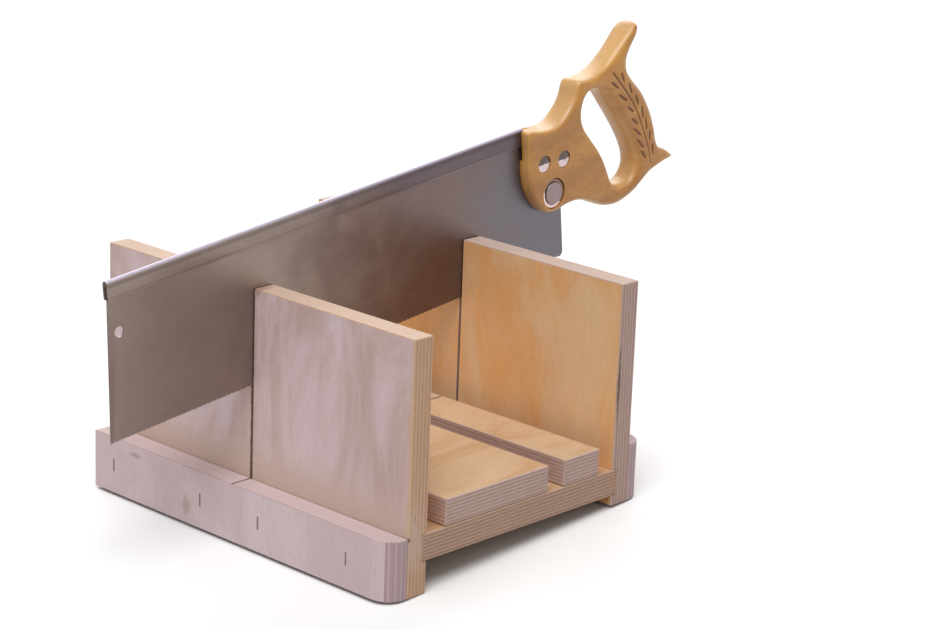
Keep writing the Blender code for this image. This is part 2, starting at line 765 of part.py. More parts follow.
def build_box():
    base = add_base_plate()
    left_wall = add_wall("left", -1, LEFT_FOOT)
    right_wall = add_wall("right", 1, RIGHT_FOOT)
    left_batten = add_batten("left", -1, LEFT_FOOT)
    right_batten = add_batten("right", 1, RIGHT_FOOT)
    kerf = kerf_cutter()
    for board in (base, left_wall, right_wall, left_batten, right_batten):
        cut(board, kerf)
    wide_left = LEFT_SLOT - HALF_INNER
    narrow_left = wide_left + WIDE_BLOCK_WIDTH + MIDDLE_SLOT
    length = BASE_THICK + GAP + BLOCK_SCREW_BITE_SHARE * BLOCK_THICK
    mesh = screw_mesh("block_screw", length, dull_zinc("block_screw"))
    for name, left, width, shares in (
            ("wide_block", wide_left, WIDE_BLOCK_WIDTH, WIDE_SCREW_SHARES),
            ("narrow_block", narrow_left, NARROW_BLOCK_WIDTH, NARROW_SCREW_SHARES)):
        halves = add_block_halves(name, left, width)
        add_block_screws(name, left, width, halves, shares, base, mesh, length)
    add_wall_screws((("left", -1, left_wall), ("right", 1, right_wall)), base)
    add_staples("left", -1, LEFT_FOOT, left_batten, left_wall)
    add_staples("right", 1, RIGHT_FOOT, right_batten, right_wall)


def build_saw():
    frame = saw_frame()
    add_blade(frame)
    add_back(frame)
    handle = add_handle(frame)
    small = (NUT_HEAD_RADIUS, NUT_HEAD_THICK, NUT_SUNK, 0, 0)
    large = (MEDALLION_RADIUS, MEDALLION_THICK, MEDALLION_SUNK, MEDALLION_RIM, MEDALLION_RAISED)
    for label, share in SAW_NUT_SHARES.items():
        add_saw_bolt(label, share, frame, handle, 1, small)
    add_saw_bolt("medallion", MEDALLION_SHARES, frame, handle, -1, large)


clear_scene()
build_box()
build_saw()
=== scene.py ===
# %% [markdown]
# # A plywood mitre box and its backsaw
#
# This file dresses a finished set of solids. The solids come in as a fixed frame: boards,
# screws, staples, and a saw that slides along its own tooth line. Here the boards get
# their plywood, and the saw's pieces are made again with the detail that a solid for
# weighing and sliding doesn't need.
#
# Everything is in metres. X runs across the box, Y along it and Z up.

# %% Load the frame
import itertools
import math

import bmesh
import bpy
import numpy as np
from mathutils import Matrix, Vector
from mathutils.geometry import delaunay_2d_cdt


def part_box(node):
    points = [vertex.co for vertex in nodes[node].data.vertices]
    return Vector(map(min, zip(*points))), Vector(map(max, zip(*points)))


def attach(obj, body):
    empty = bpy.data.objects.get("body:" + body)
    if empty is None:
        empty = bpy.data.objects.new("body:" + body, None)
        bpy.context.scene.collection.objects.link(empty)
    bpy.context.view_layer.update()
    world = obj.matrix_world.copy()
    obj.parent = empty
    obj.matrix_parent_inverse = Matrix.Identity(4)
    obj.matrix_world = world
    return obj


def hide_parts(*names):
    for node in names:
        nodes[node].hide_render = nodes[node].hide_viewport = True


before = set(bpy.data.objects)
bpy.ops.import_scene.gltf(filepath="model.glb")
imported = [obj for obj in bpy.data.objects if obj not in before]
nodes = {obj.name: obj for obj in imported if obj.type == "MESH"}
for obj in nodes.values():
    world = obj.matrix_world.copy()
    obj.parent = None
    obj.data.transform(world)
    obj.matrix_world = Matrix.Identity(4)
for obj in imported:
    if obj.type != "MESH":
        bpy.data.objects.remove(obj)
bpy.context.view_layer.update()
scene = bpy.context.scene


# %% Put an object in the scene
def add_to_scene(name, data):
    added = bpy.data.objects.new(name, data)
    scene.collection.objects.link(added)
    return added


# %% [markdown]
# ## The camera
#
# The camera stands where the photographer stood, found by fitting the straight edges of
# the box. A long lens from about two metres keeps the walls nearly parallel. Its three
# directions are written down instead of angles, because they came out of the fit.

# %% Place the camera
CAMERA_PLACE = Vector((-1.3378, -1.3533, 0.6875))
CAMERA_RIGHT = Vector((0.69017, -0.72272, 0.03653))
CAMERA_DOWN = Vector((-0.18182, -0.22205, -0.95793))
CAMERA_AHEAD = Vector((0.70043, 0.65450, -0.28465))
CAMERA_LENS = 103.04
SENSOR_WIDTH = 36
CAMERA_SEES = (0.05, 60)

camera_data = bpy.data.cameras.new("camera")
camera_data.lens = CAMERA_LENS
camera_data.sensor_width = SENSOR_WIDTH
camera_data.clip_start, camera_data.clip_end = CAMERA_SEES
camera = add_to_scene("camera", camera_data)
facing = Matrix((CAMERA_RIGHT, -CAMERA_DOWN, -CAMERA_AHEAD)).transposed().to_4x4()
camera.matrix_world = Matrix.Translation(CAMERA_PLACE) @ facing
scene.camera = camera
scene.view_settings.view_transform = "Standard"
print("camera looks along", tuple(round(part, 3) for part in CAMERA_AHEAD))

# %% [markdown]
# ## Helpers for materials
#
# A material is a small network of nodes. These helpers keep each network short to read. A
# socket is filled with the link of another node or with a plain value, and a colour is
# three numbers from 0 to 255, as it looks on a screen.


# %% Add and join nodes
def colour(red, green, blue):
    """Turns a colour on a screen into the light that Blender counts in."""
    parts = [part / 255 for part in (red, green, blue)]
    light = [part / 12.92 if part <= 0.04045 else ((part + 0.055) / 1.055) ** 2.4
             for part in parts]
    return (*light, 1.0)


def fill(tree, socket, value):
    if isinstance(value, bpy.types.NodeSocket):
        tree.links.new(value, socket)
    else:
        socket.default_value = colour(*value) if socket.type == "RGBA" else value


def place(tree, kind, sockets=None, **options):
    """Adds a node, sets its options and fills its sockets."""
    added = tree.nodes.new("ShaderNode" + kind)
    for option, value in options.items():
        setattr(added, option, value)
    for socket, value in (sockets or {}).items():
        fill(tree, added.inputs[socket], value)
    return added


print("white comes out as", colour(255, 255, 255)[:3])


# %% Sums, noise and masks
def calc(tree, operation, *values):
    return place(tree, "Math", dict(enumerate(values)), operation=operation).outputs[0]


def times(tree, first, second):
    return calc(tree, "MULTIPLY", first, second)


def total(tree, start, *parts):
    """A start value, plus each mask times its amount."""
    for mask, amount in parts:
        start = calc(tree, "MULTIPLY_ADD", mask, amount, start)
    return start


def vectors(tree, operation, *values, result=0):
    added = place(tree, "VectorMath", dict(enumerate(values)), operation=operation)
    return added.outputs[result]


def split(tree, vector):
    return place(tree, "SeparateXYZ", {0: vector}).outputs


def noise(tree, vector, scale, **sockets):
    return place(tree, "TexNoise", {"Vector": vector, "Scale": scale, **sockets}).outputs[0]


def ramp(tree, value, low, high):
    """0 where a value is at low, 1 where it is at high, and a smooth change between."""
    limits = {"Value": value, "From Min": low, "From Max": high}
    return place(tree, "MapRange", limits, interpolation_type="SMOOTHSTEP").outputs[0]


# %% Colours
def blend(tree, amount, first, second, kind="MIX"):
    sockets = {0: amount, 6: first, 7: second}
    return place(tree, "Mix", sockets, data_type="RGBA", blend_type=kind).outputs[2]


def overlay(tree, surface, *layers, kind="MIX"):
    """Lays each tone over the surface where its mask is 1, by no more than its amount."""
    for mask, amount, tone in layers:
        surface = blend(tree, times(tree, mask, amount), surface, tone, kind)
    return surface


# %% Groups and materials
def start_group(name, inputs):
    """An input that starts as None is a vector, and every other is a plain value."""
    tree = bpy.data.node_groups.new(name, "ShaderNodeTree")
    for socket, value in inputs.items():
        kind = "NodeSocketVector" if value is None else "NodeSocketFloat"
        made = tree.interface.new_socket(socket, in_out="INPUT", socket_type=kind)
        if value is not None:
            made.default_value = value
    return tree, tree.nodes.new("NodeGroupInput").outputs


def end_group(tree, results):
    for socket in results:
        tree.interface.new_socket(socket, in_out="OUTPUT", socket_type="NodeSocketFloat")
    out = tree.nodes.new("NodeGroupOutput").inputs
    for socket, value in results.items():
        tree.links.new(value, out[socket])
    print("group:", tree.name, "gives", list(results))
    return tree


def use_group(tree, group, **values):
    added = tree.nodes.new("ShaderNodeGroup")
    added.node_tree = group
    for socket, value in values.items():
        fill(tree, added.inputs[socket.replace("_", " ")], value)
    return added.outputs


def start_material(name, **sockets):
    material = bpy.data.materials.new(name)
    material.use_nodes = True
    tree = material.node_tree
    shader = tree.nodes["Principled BSDF"]
    for socket, value in sockets.items():
        shader.inputs[socket.replace("_", " ")].default_value = value
    return material, tree, shader, place(tree, "TexCoord").outputs["Object"]


def end_material(tree, shader, tone, shine, height, distance):
    tree.links.new(tone, shader.inputs["Base Color"])
    tree.links.new(shine, shader.inputs["Roughness"])
    bump = place(tree, "Bump", {"Height": height, "Distance": distance, "Strength": 1.0})
    tree.links.new(bump.outputs[0], shader.inputs["Normal"])


# %% [markdown]
# ## Floor and light
#
# The box stands on feet of two lengths, so it leans a little. The solids are drawn level,
# so here it is the floor that leans: it touches the inner edge of the low foot and the
# outer edge of the high one.

# %% Lay the floor under both feet
FLOOR_HALF = 6.0
low_foot, high_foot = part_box("left_wall"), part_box("right_batten")
low_edge = Vector((low_foot[1].x, 0, low_foot[0].z))
high_edge = Vector((high_foot[1].x, 0, high_foot[0].z))
lean = math.atan2(high_edge.z - low_edge.z, high_edge.x - low_edge.x)

floor_mesh = bpy.data.meshes.new("floor")
floor_corners = [(x * FLOOR_HALF, y * FLOOR_HALF, 0)
                 for x, y in ((-1, -1), (1, -1), (1, 1), (-1, 1))]
floor_mesh.from_pydata(floor_corners, [], [(0, 1, 2, 3)])
floor = add_to_scene("floor", floor_mesh)
floor.location = low_edge
floor.rotation_euler.y = -lean
print("the box leans by", round(math.degrees(lean), 2), "degrees")

# %% [markdown]
# The floor and the sky show white to the eye and in every reflection, but they light the
# box more weakly than white would. Light Path tells the two apart, so the white behind
# the box costs no shade on it.

# %% Finish the floor and the sky
SEEN_FLOOR = ((247, 247, 247), (250, 250, 250))
LIT_FLOOR = (202, 202, 202)
SKY_STRENGTH = 0.42


def seen_rays(tree):
    """1 where the camera, metal or glass looks, and 0 for light on its way to a surface."""
    rays = place(tree, "LightPath").outputs
    shiny = calc(tree, "MAXIMUM", rays["Is Glossy Ray"], rays["Is Transmission Ray"])
    return calc(tree, "MAXIMUM", rays["Is Camera Ray"], shiny)


floor_paint, tree, shader, spot = start_material("pale_floor", Roughness=0.9,
                                                 Specular_IOR_Level=0.0)
pale = blend(tree, noise(tree, spot, 3.0, Detail=2.0), *SEEN_FLOOR)
sheet = blend(tree, seen_rays(tree), LIT_FLOOR, pale)
tree.links.new(sheet, shader.inputs["Base Color"])
floor_mesh.materials.append(floor_paint)

sky = bpy.data.worlds.new("sky")
scene.world = sky
sky.use_nodes = True
tree = sky.node_tree
background = tree.nodes["Background"].inputs
strength = total(tree, SKY_STRENGTH, (seen_rays(tree), 1.0 - SKY_STRENGTH))
fill(tree, background["Color"], (255, 255, 255))
fill(tree, background["Strength"], strength)
print("sky gives", SKY_STRENGTH, "of white")

# %% [markdown]
# Two broad lamps stand so far away that they light floor and box evenly: the key above
# and to the left, and a weaker one behind, whose reflection lies along every top edge.

# %% Hang the lamps
# Towards the lamp, the brightness it gives a sheet that faces it, its width in degrees
LAMPS = {"key_lamp": ((-0.36, -0.22, 0.90), 0.66, 40),
         "back_lamp": ((0.50, 0.62, 0.60), 0.30, 46)}

for name, (towards, share, spread) in LAMPS.items():
    lamp_data = bpy.data.lights.new(name, "SUN")
    lamp_data.energy = share * math.pi
    lamp_data.angle = math.radians(spread)
    lamp = add_to_scene(name, lamp_data)
    lamp.rotation_euler = Vector(towards).to_track_quat("Z", "Y").to_euler()
print("lamps:", list(LAMPS))

# %% [markdown]
# ## What wood does, as groups
#
# Plywood is thin sheets glued with their grain crossed. Its face shows one sheet, with
# cloudy figure along the grain. Noise that is squeezed across the grain and left long
# along it gives the figure, its fibres and its short flecks.


# %% Group: figure along the grain
def make_figure():
    """Vector has the grain along its X. The outputs are masks from 0 to 1."""
    tree, given = start_group(
        "wood_figure", {"Vector": None, "Cloud Size": 0.05, "Fibre Size": 0.001})

    def drawn_out(length):
        return vectors(tree, "MULTIPLY", given["Vector"], (length, 1.0, 1.0))

    cloud_scale = calc(tree, "DIVIDE", 1.0, given["Cloud Size"])
    fibre_scale = calc(tree, "DIVIDE", 1.0, given["Fibre Size"])
    cloud = noise(tree, drawn_out(0.35), cloud_scale, Detail=6.0, Roughness=0.62,
                  Distortion=0.9)
    fibre = noise(tree, drawn_out(0.05), fibre_scale, Detail=3.0, Roughness=0.6)
    fleck = noise(tree, drawn_out(0.16), fibre_scale, Detail=1.0, Roughness=0.4)
    return end_group(tree, {"Cloud": ramp(tree, cloud, 0.38, 0.62),
                            "Fibre": ramp(tree, fibre, 0.3, 0.7),
                            "Fleck": ramp(tree, fleck, 0.60, 0.70)})


wood_figure = make_figure()

# %% [markdown]
# A board's edges show all its sheets, those cut along the grain smooth and pale, and
# those cut across it darker and full of pores. They are counted from how deep a point
# lies in the board, so one board's faces and edges always agree.


# %% Group: the sheets in a board's edge
def make_layers():
    """Depth is how far a point lies under one face. Crossed is 1 on the edges where the
    odd sheets are the ones cut across."""
    tree, given = start_group(
        "plywood_layers", {"Vector": None, "Depth": 0.0, "Thickness": 0.018,
                           "Sheets": 9.0, "Crossed": 0.0, "Wander": 0.15})
    drift = calc(tree, "SUBTRACT", noise(tree, given["Vector"], 22.0, Detail=2.0), 0.5)
    share = calc(tree, "DIVIDE", given["Depth"], given["Thickness"])
    count = total(tree, times(tree, share, given["Sheets"]), (drift, given["Wander"]))
    number = calc(tree, "FLOOR", count)
    within = calc(tree, "SUBTRACT", count, number)
    odd = calc(tree, "MODULO", calc(tree, "ADD", number, 100.0), 2.0)
    across = calc(tree, "ABSOLUTE", calc(tree, "SUBTRACT", odd, given["Crossed"]))
    from_middle = calc(tree, "ABSOLUTE", calc(tree, "SUBTRACT", within, 0.5))
    shade = place(tree, "TexWhiteNoise", {"W": number}, noise_dimensions="1D").outputs[0]
    pores = ramp(tree, noise(tree, given["Vector"], 1500.0, Detail=2.0), 0.52, 0.7)
    return end_group(tree, {"Cut Across": across, "Shade": shade,
                            "Glue": ramp(tree, from_middle, 0.36, 0.5),
                            "Pores": times(tree, pores, across)})


plywood_layers = make_layers()

# %% [markdown]
# A stain, a knot or a dirty kerf is one soft patch with a ragged border. Where one board
# needs such a patch, the group is placed again with its own centre and reach.


# %% Group: one soft stain
def make_stain():
    """1 at Centre, fading to 0 at Reach from it, with a ragged border."""
    tree, given = start_group("soft_stain", {"Vector": None, "Centre": None, "Reach": None})
    away = vectors(tree, "SUBTRACT", given["Vector"], given["Centre"])
    away = vectors(tree, "DIVIDE", away, given["Reach"])
    away = vectors(tree, "LENGTH", away, result="Value")
    ragged = noise(tree, given["Vector"], 260.0, Detail=3.0)
    away = total(tree, away, (ragged, 0.9))
    return end_group(tree, {"Stain": ramp(tree, away, 1.5, 0.7)})


soft_stain = make_stain()

# %% [markdown]
# Handling rubs corners first. The Bevel node rounds the surface's direction over a small
# reach, so where it turns away from the true direction there is a corner to rub.


# %% Group: worn edges and handling
def make_wear():
    """Edge is 1 on sharp corners, broken up along them. Smudge is soft and large."""
    tree, given = start_group(
        "edge_wear", {"Vector": None, "Reach": 0.001, "Smudge Size": 0.06})
    rounded = place(tree, "Bevel", {"Radius": given["Reach"]}, samples=4).outputs[0]
    true_way = place(tree, "NewGeometry").outputs["Normal"]
    agree = vectors(tree, "DOT_PRODUCT", rounded, true_way, result="Value")
    broken = ramp(tree, noise(tree, given["Vector"], 160.0, Detail=3.0), 0.3, 0.6)
    scale = calc(tree, "DIVIDE", 1.0, given["Smudge Size"])
    smudge = noise(tree, given["Vector"], scale, Detail=5.0, Roughness=0.6, Distortion=0.3)
    return end_group(tree, {"Edge": times(tree, ramp(tree, agree, 0.985, 0.86), broken),
                            "Smudge": ramp(tree, smudge, 0.35, 0.7)})


edge_wear = make_wear()

# %% [markdown]
# ## Plywood boards
#
# The boards' shapes are right as they are, with their eased edges, housings and kerf, so
# each keeps its solid and gets its own plywood. Every board is told which way its sheets
# are stacked and which way the grain of its face runs. The two faces of a board may be
# different veneers, so each has a colour of its own.


# %% The face of a board and its edges
def board_face(tree, tones, figure, outer):
    veneer = blend(tree, outer, tones["low_face"], tones["high_face"])
    deep = blend(tree, outer, tones["low_figure"], tones["high_figure"])
    return overlay(tree, blend(tree, figure["Cloud"], veneer, deep),
                   (figure["Fibre"], 0.16, tones["fibre"]),
                   (figure["Fleck"], 0.20, tones["fibre"]))


def board_edge(tree, tones, figure, layers, upward):
    edge = blend(tree, layers["Cut Across"], tones["edge_long"], tones["edge_across"])
    return overlay(tree, edge,
                   (layers["Shade"], 0.35, tones["edge_long"]),
                   (layers["Glue"], 0.40, tones["glue"]),
                   (layers["Pores"], 0.30, tones["glue"]),
                   (figure["Fibre"], 0.12, tones["fibre"]),
                   # Edges that face up are paler: a painted highlight from the light above, laid
                   # on in the worn tone.
                   (ramp(tree, upward, 0.6, 0.9), 0.5, tones["worn_and_top_lit"]))


# %% Plywood for one board
def board_plywood(name, stack, box, sheets, grain, tones, stains=()):
    """stack and grain are axis letters, and box is the board's lowest and highest corner.
    Each stain has a centre, a reach, a tone and an amount."""
    material, tree, shader, spot = start_material(name, Specular_IOR_Level=0.28)
    face, far_face = getattr(box[0], stack.lower()), getattr(box[1], stack.lower())
    parts = split(tree, spot)
    other = next(axis for axis in "XYZ" if axis not in (stack, grain))
    grain_first = {0: parts[grain], 1: parts[other], 2: parts[stack]}
    along = place(tree, "CombineXYZ", grain_first).outputs[0]
    shifted = vectors(tree, "ADD", along, tones["place"])
    turned = split(tree, place(tree, "TexCoord").outputs["Normal"])
    on_face = ramp(tree, calc(tree, "ABSOLUTE", turned[stack]), 0.75, 0.8)
    crossed = ramp(tree, calc(tree, "ABSOLUTE", turned[grain]), 0.45, 0.5)
    figure = use_group(tree, wood_figure, Vector=shifted, Cloud_Size=0.055,
                       Fibre_Size=0.0009)
    layers = use_group(tree, plywood_layers, Vector=shifted, Thickness=far_face - face,
                       Depth=calc(tree, "SUBTRACT", parts[stack], face), Sheets=sheets,
                       Crossed=crossed, Wander=0.3)
    wear = use_group(tree, edge_wear, Vector=spot, Reach=0.0012, Smudge_Size=0.07)
    surface = blend(tree, on_face, board_edge(tree, tones, figure, layers, turned["Z"]),
                    board_face(tree, tones, figure, ramp(tree, turned[stack], -0.1, 0.1)))
    surface = overlay(tree, surface, (wear["Smudge"], 0.16, tones["smudge"]), kind="MULTIPLY")
    surface = overlay(tree, surface, (wear["Edge"], 0.30, tones["worn_and_top_lit"]))
    for centre, reach, stain_tone, amount in stains:
        stain = use_group(tree, soft_stain, Vector=spot, Centre=centre, Reach=reach)
        surface = overlay(tree, surface, (stain["Stain"], amount, stain_tone))
    matt = total(tree, 0.55, (figure["Fibre"], 0.12), (layers["Pores"], 0.1))
    on_edge = calc(tree, "SUBTRACT", 1.0, on_face)
    sunk = total(tree, 0.0, (layers["Glue"], -0.5), (layers["Pores"], -0.5))
    height = total(tree, times(tree, sunk, on_edge), (figure["Fibre"], -0.35))
    end_material(tree, shader, surface, matt, height, 0.00018)
    return material


def clothe(node, material):
    mesh = nodes[node].data
    mesh.materials.clear()
    mesh.materials.append(material)


# %% Colours of the boards
# place moves a board to another spot of the same endless plywood
PALE_VENEER = {
    "low_face": (222, 199, 203), "low_figure": (200, 171, 165),
    "high_face": (222, 199, 203), "high_figure": (200, 171, 165),
    "edge_long": (210, 172, 141), "edge_across": (190, 150, 119), "glue": (138, 104, 82),
    "fibre": (184, 156, 146), "smudge": (214, 202, 196), "worn_and_top_lit": (226, 206, 190),
    "place": (0.31, 0.07, 0.0)}
BATTEN_VENEER = dict(
    PALE_VENEER, low_face=(223, 203, 208), high_face=(223, 203, 208),
    low_figure=(213, 190, 194), high_figure=(213, 190, 194), edge_long=(190, 166, 171),
    edge_across=(174, 149, 152), glue=(156, 124, 106), worn_and_top_lit=(222, 204, 202),
    place=(0.71, 0.13, 0.2))
REST_VENEER = dict(
    PALE_VENEER, low_face=(186, 152, 124), low_figure=(160, 124, 98),
    high_face=(216, 184, 150), high_figure=(202, 162, 122), edge_long=(204, 176, 168),
    edge_across=(180, 150, 138), glue=(112, 88, 78), fibre=(176, 136, 104),
    worn_and_top_lit=(224, 198, 170))
TAN_FACE = (236, 199, 154)
TAN_FIGURE = (236, 180, 118)
print("veneers:", len(PALE_VENEER), "values each")

# %% [markdown]
# The walls are pale outside and tan inside. The marks of the left wall are a band of painted
# shade just above its batten, painted shade along the kerf, a tear at the kerf's top, and
# the yellowed front corner. The right wall has a long dark knot in one sheet.

# %% Walls
WALL_SHEETS = 11.0
left_box, right_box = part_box("left_wall"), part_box("right_wall")
batten_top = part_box("left_batten")[1].z
outside, open_end = left_box[0].x, left_box[0].y
left_marks = (
    # A band of painted shade just above the batten, where the wall's face gets less light.
    ((outside, 0.0, batten_top), (0.02, 0.40, 0.038), (205, 179, 166), 0.9),
    # Painted shade along the whole kerf, darkening the slot.
    ((outside, 0.0, batten_top), (0.04, 0.0020, 0.60), (88, 62, 46), 0.85),
    ((outside, -0.004, left_box[1].z), (0.02, 0.006, 0.007), (150, 112, 86), 0.6),
    ((outside, open_end, 0.075), (0.0060, 0.0048, 0.12), (204, 170, 132), 0.55),
    ((outside + 0.0006, open_end, 0.019), (0.0016, 0.003, 0.0022), (104, 76, 56), 0.8),
)
left_tones = dict(PALE_VENEER, high_face=TAN_FACE, high_figure=TAN_FIGURE)
clothe("left_wall", board_plywood("left_wall_plywood", "X", left_box, WALL_SHEETS, "Z",
                                  left_tones, left_marks))

knot_place = (right_box[0].x + 0.0018, right_box[0].y, 0.086)
right_marks = ((knot_place, (0.0021, 0.003, 0.034), (92, 66, 50), 0.8),)
right_tones = dict(PALE_VENEER, low_face=TAN_FACE, low_figure=TAN_FIGURE,
                   edge_long=(194, 166, 156), edge_across=(172, 143, 132),
                   place=(0.11, 0.42, 0.0))
clothe("right_wall", board_plywood("right_wall_plywood", "X", right_box, WALL_SHEETS, "Z",
                                   right_tones, right_marks))
print("walls have", len(left_marks), "and", len(right_marks), "marks")

# %% Battens
BATTEN_SHEETS = 9.0
# Reach, colour and amount of the painted shade in the soft dent that each staple has pressed
STAPLE_DENT_SHADE = ((0.02, 0.0022, 0.008), (152, 128, 120), 0.7)
for side in ("left", "right"):
    name = side + "_batten"
    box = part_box(name)
    staples = [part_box(side + "_staple_" + str(number)) for number in range(1, 5)]
    marks = [((low + high) / 2, *STAPLE_DENT_SHADE) for low, high in staples]
    if side == "left":
        marks += [((box[0].x, 0.107, 0.0122), (0.02, 0.009, 0.0022), (160, 128, 110), 0.6),
                  ((box[0].x, 0.0495, -0.0105), (0.02, 0.006, 0.010), (176, 150, 132), 0.6)]
    clothe(name, board_plywood(name + "_plywood", "X", box, BATTEN_SHEETS, "Z",
                               BATTEN_VENEER, marks))
    print(name, "has", len(marks), "marks")

# %% Base and work rests
REST_SHEETS = 15.0
base_tones = dict(REST_VENEER, edge_long=(194, 160, 140), edge_across=(166, 132, 112))
base_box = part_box("base_plate")
clothe("base_plate", board_plywood("base_plywood", "Z", base_box, REST_SHEETS, "X",
                                   base_tones))

for number, rest in enumerate(("wide_block", "narrow_block")):
    tones = dict(REST_VENEER, place=(0.2 + number, 0.5, 0.1))
    plywood = board_plywood(rest + "_plywood", "Z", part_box(rest + "_front"), REST_SHEETS,
                            "X", tones)
    for end in ("_front", "_rear"):
        clothe(rest + end, plywood)
print("base thickness:", round((base_box[1].z - base_box[0].z) * 1000, 2), "mm")

# %% [markdown]
# ## The saw's own frame
#
# The saw is drawn along its tooth line: X runs from toe to heel and on into the handle,
# Z from the teeth up to the back, and Y through the plate. The frame's origin is the
# heel, on the tooth line. Every saw piece is drawn there and then turned by the tilt at
# which the saw is held, the way the solids were. Its materials turn each spot back, so
# that grain and scratches follow the saw.

# %% Sizes of the saw
GAP = 0.0003
SAW_TILT = math.radians(6.9)
BLADE_LENGTH = 0.457
BLADE_DEPTH = 0.1016
BLADE_THICK = 0.0009
HALF_BLADE = BLADE_THICK / 2
HEEL_RADIUS = 0.0045
BACK_HEIGHT = 0.0138
BACK_TOP = BLADE_DEPTH + BACK_HEIGHT
BACK_THICK = 0.0054
BACK_GRIP = 0.0095
BACK_LET_IN = 0.004
HANDLE_FRONT = -0.045
HANDLE_LENGTH = 0.171
HANDLE_HEIGHT = 0.142
HANDLE_THICK = 0.022
HALF_HANDLE = HANDLE_THICK / 2
HANDLE_FLOOR = BACK_TOP - 0.614 * HANDLE_HEIGHT
print("saw:", BLADE_LENGTH + HANDLE_FRONT + HANDLE_LENGTH, "m from toe to horn")

# %% Stand the saw's frame where the solids are
upright = Matrix.Rotation(SAW_TILT, 3, "Y")
corners = [upright @ corner.co for corner in nodes["saw_blade"].data.vertices]
heel = upright.inverted() @ Vector((max(corner.x for corner in corners), 0,
                                    min(corner.z for corner in corners)))
saw_frame = Matrix.Translation(heel) @ Matrix.Rotation(-SAW_TILT, 4, "Y")
print("heel at", tuple(round(part, 4) for part in heel))


# %% Make a piece of the saw
def saw_piece(name, mesh, node, smooth_angle):
    mesh.transform(saw_frame)
    piece = add_to_scene(name, mesh)
    mesh.shade_smooth()
    mesh.set_sharp_from_angle(angle=math.radians(smooth_angle))
    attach(piece, "saw")
    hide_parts(node)
    print(name, "has", len(mesh.polygons), "faces")


def saw_spot(tree, spot):
    """The same spot, told in the saw's own frame."""
    sockets = {"Vector": vectors(tree, "SUBTRACT", spot, heel), "Angle": SAW_TILT}
    return place(tree, "VectorRotate", sockets, rotation_type="Y_AXIS").outputs[0]


def band(first, second):
    """Faces between two rings. Where a ring repeats one point, they are triangles."""
    for here in range(len(first)):
        corners = (first[here - 1], first[here], second[here], second[here - 1])
        yield tuple(dict.fromkeys(corners))


def add_faces(shape, faces):
    for face in faces:
        shape.faces.new(face)


def finish_mesh(name, shape):
    bmesh.ops.recalc_face_normals(shape, faces=shape.faces)
    mesh = bpy.data.meshes.new(name)
    shape.to_mesh(mesh)
    shape.free()
    return mesh


# %% Outlines
def arc(centre, radius, start, end, steps):
    turns = [start + (end - start) * step / steps for step in range(steps + 1)]
    return [(centre[0] + radius * math.cos(turn), centre[1] + radius * math.sin(turn))
            for turn in turns]


def circle(centre, radius, sides):
    return arc(centre, radius, 0, 2 * math.pi, sides)[:-1]


def places_of(loops):
    """Where each loop's points lie in the list of all loops' points."""
    ends = [0, *itertools.accumulate(map(len, loops))]
    return [range(start, end) for start, end in zip(ends, ends[1:])]


INSIDE_ONLY = 1
SAME_POINT = 1e-7


def fill_between(points, loops):
    """Triangles between an outline and its holes, which all run to the left. They are
    given by their places among the points, and loose points between them are joined in."""
    filled = delaunay_2d_cdt([Vector(point) for point in points], [],
                             [list(loop) for loop in loops], INSIDE_ONLY, SAME_POINT)
    triangles, sources, owners = filled[2], filled[3], filled[5]
    return [tuple(sources[corner][0] for corner in triangle)
            for triangle, owner in zip(triangles, owners) if owner == [0]]


print("a square has", len(fill_between(circle((0, 0), 1, 4), [range(4)])), "triangles")

# %% [markdown]
# ## Steel
#
# A saw plate is ground along its length, so its scratches run that way. Its colour changes
# slowly along it, brown along most of it and blue-grey near the heel; the brown is partly a
# painted reflection of the wooden walls. The scratches are a stretched noise that only
# changes the roughness and a very shallow bump, and the colour change follows the plate.


# %% Group: ground metal
def make_ground_metal():
    tree, given = start_group("ground_metal", {
        "Vector": None, "Scratch Size": 0.0004, "Stretch": 0.02, "Patch Size": 0.03})
    parts = split(tree, given["Vector"])
    drawn = {0: times(tree, parts[0], given["Stretch"]), 1: parts[1], 2: parts[2]}
    drawn = place(tree, "CombineXYZ", drawn).outputs[0]
    scratch_scale = calc(tree, "DIVIDE", 1.0, given["Scratch Size"])
    patch_scale = calc(tree, "DIVIDE", 1.0, given["Patch Size"])
    scratch = noise(tree, drawn, scratch_scale, Detail=4.0, Roughness=0.7)
    patch = noise(tree, given["Vector"], patch_scale, Detail=5.0, Roughness=0.6,
                  Distortion=0.8)
    cells = place(tree, "TexVoronoi", {"Vector": given["Vector"], "Scale": 420.0}).outputs
    spots = ramp(tree, cells["Distance"], 0.16, 0.05)
    rare = ramp(tree, noise(tree, given["Vector"], 30.0), 0.55, 0.7)
    return end_group(tree, {"Scratch": ramp(tree, scratch, 0.3, 0.7),
                            "Patch": ramp(tree, patch, 0.3, 0.7),
                            "Spots": times(tree, spots, rare)})


ground_metal = make_ground_metal()

# %% Places along the plate, and bands of painted shade and highlight on the back
# Where the toe's colour gives way to the middle's, and the middle's to the heel's
TOE_TO_MIDDLE = (-0.34, -0.15)
MIDDLE_TO_HEEL = (-0.13, -0.03)
# Low limit, high limit, colour, amount: painted shade under the round crest and by the lower
# edge, and a painted highlight along the lower edge
BACK_SHADE_AND_HIGHLIGHT_BANDS = ((BACK_TOP - 0.0050, BACK_TOP - 0.0022, (66, 58, 60), 0.34),
              (BLADE_DEPTH + 0.0013, BLADE_DEPTH + 0.0021, (66, 58, 60), 0.34),
              (BLADE_DEPTH - 0.0020, BLADE_DEPTH + 0.0006, (190, 174, 166), 0.34))
BAND_SOFT = 0.0004
print("bands on the back and the blade:", len(BACK_SHADE_AND_HIGHLIGHT_BANDS))


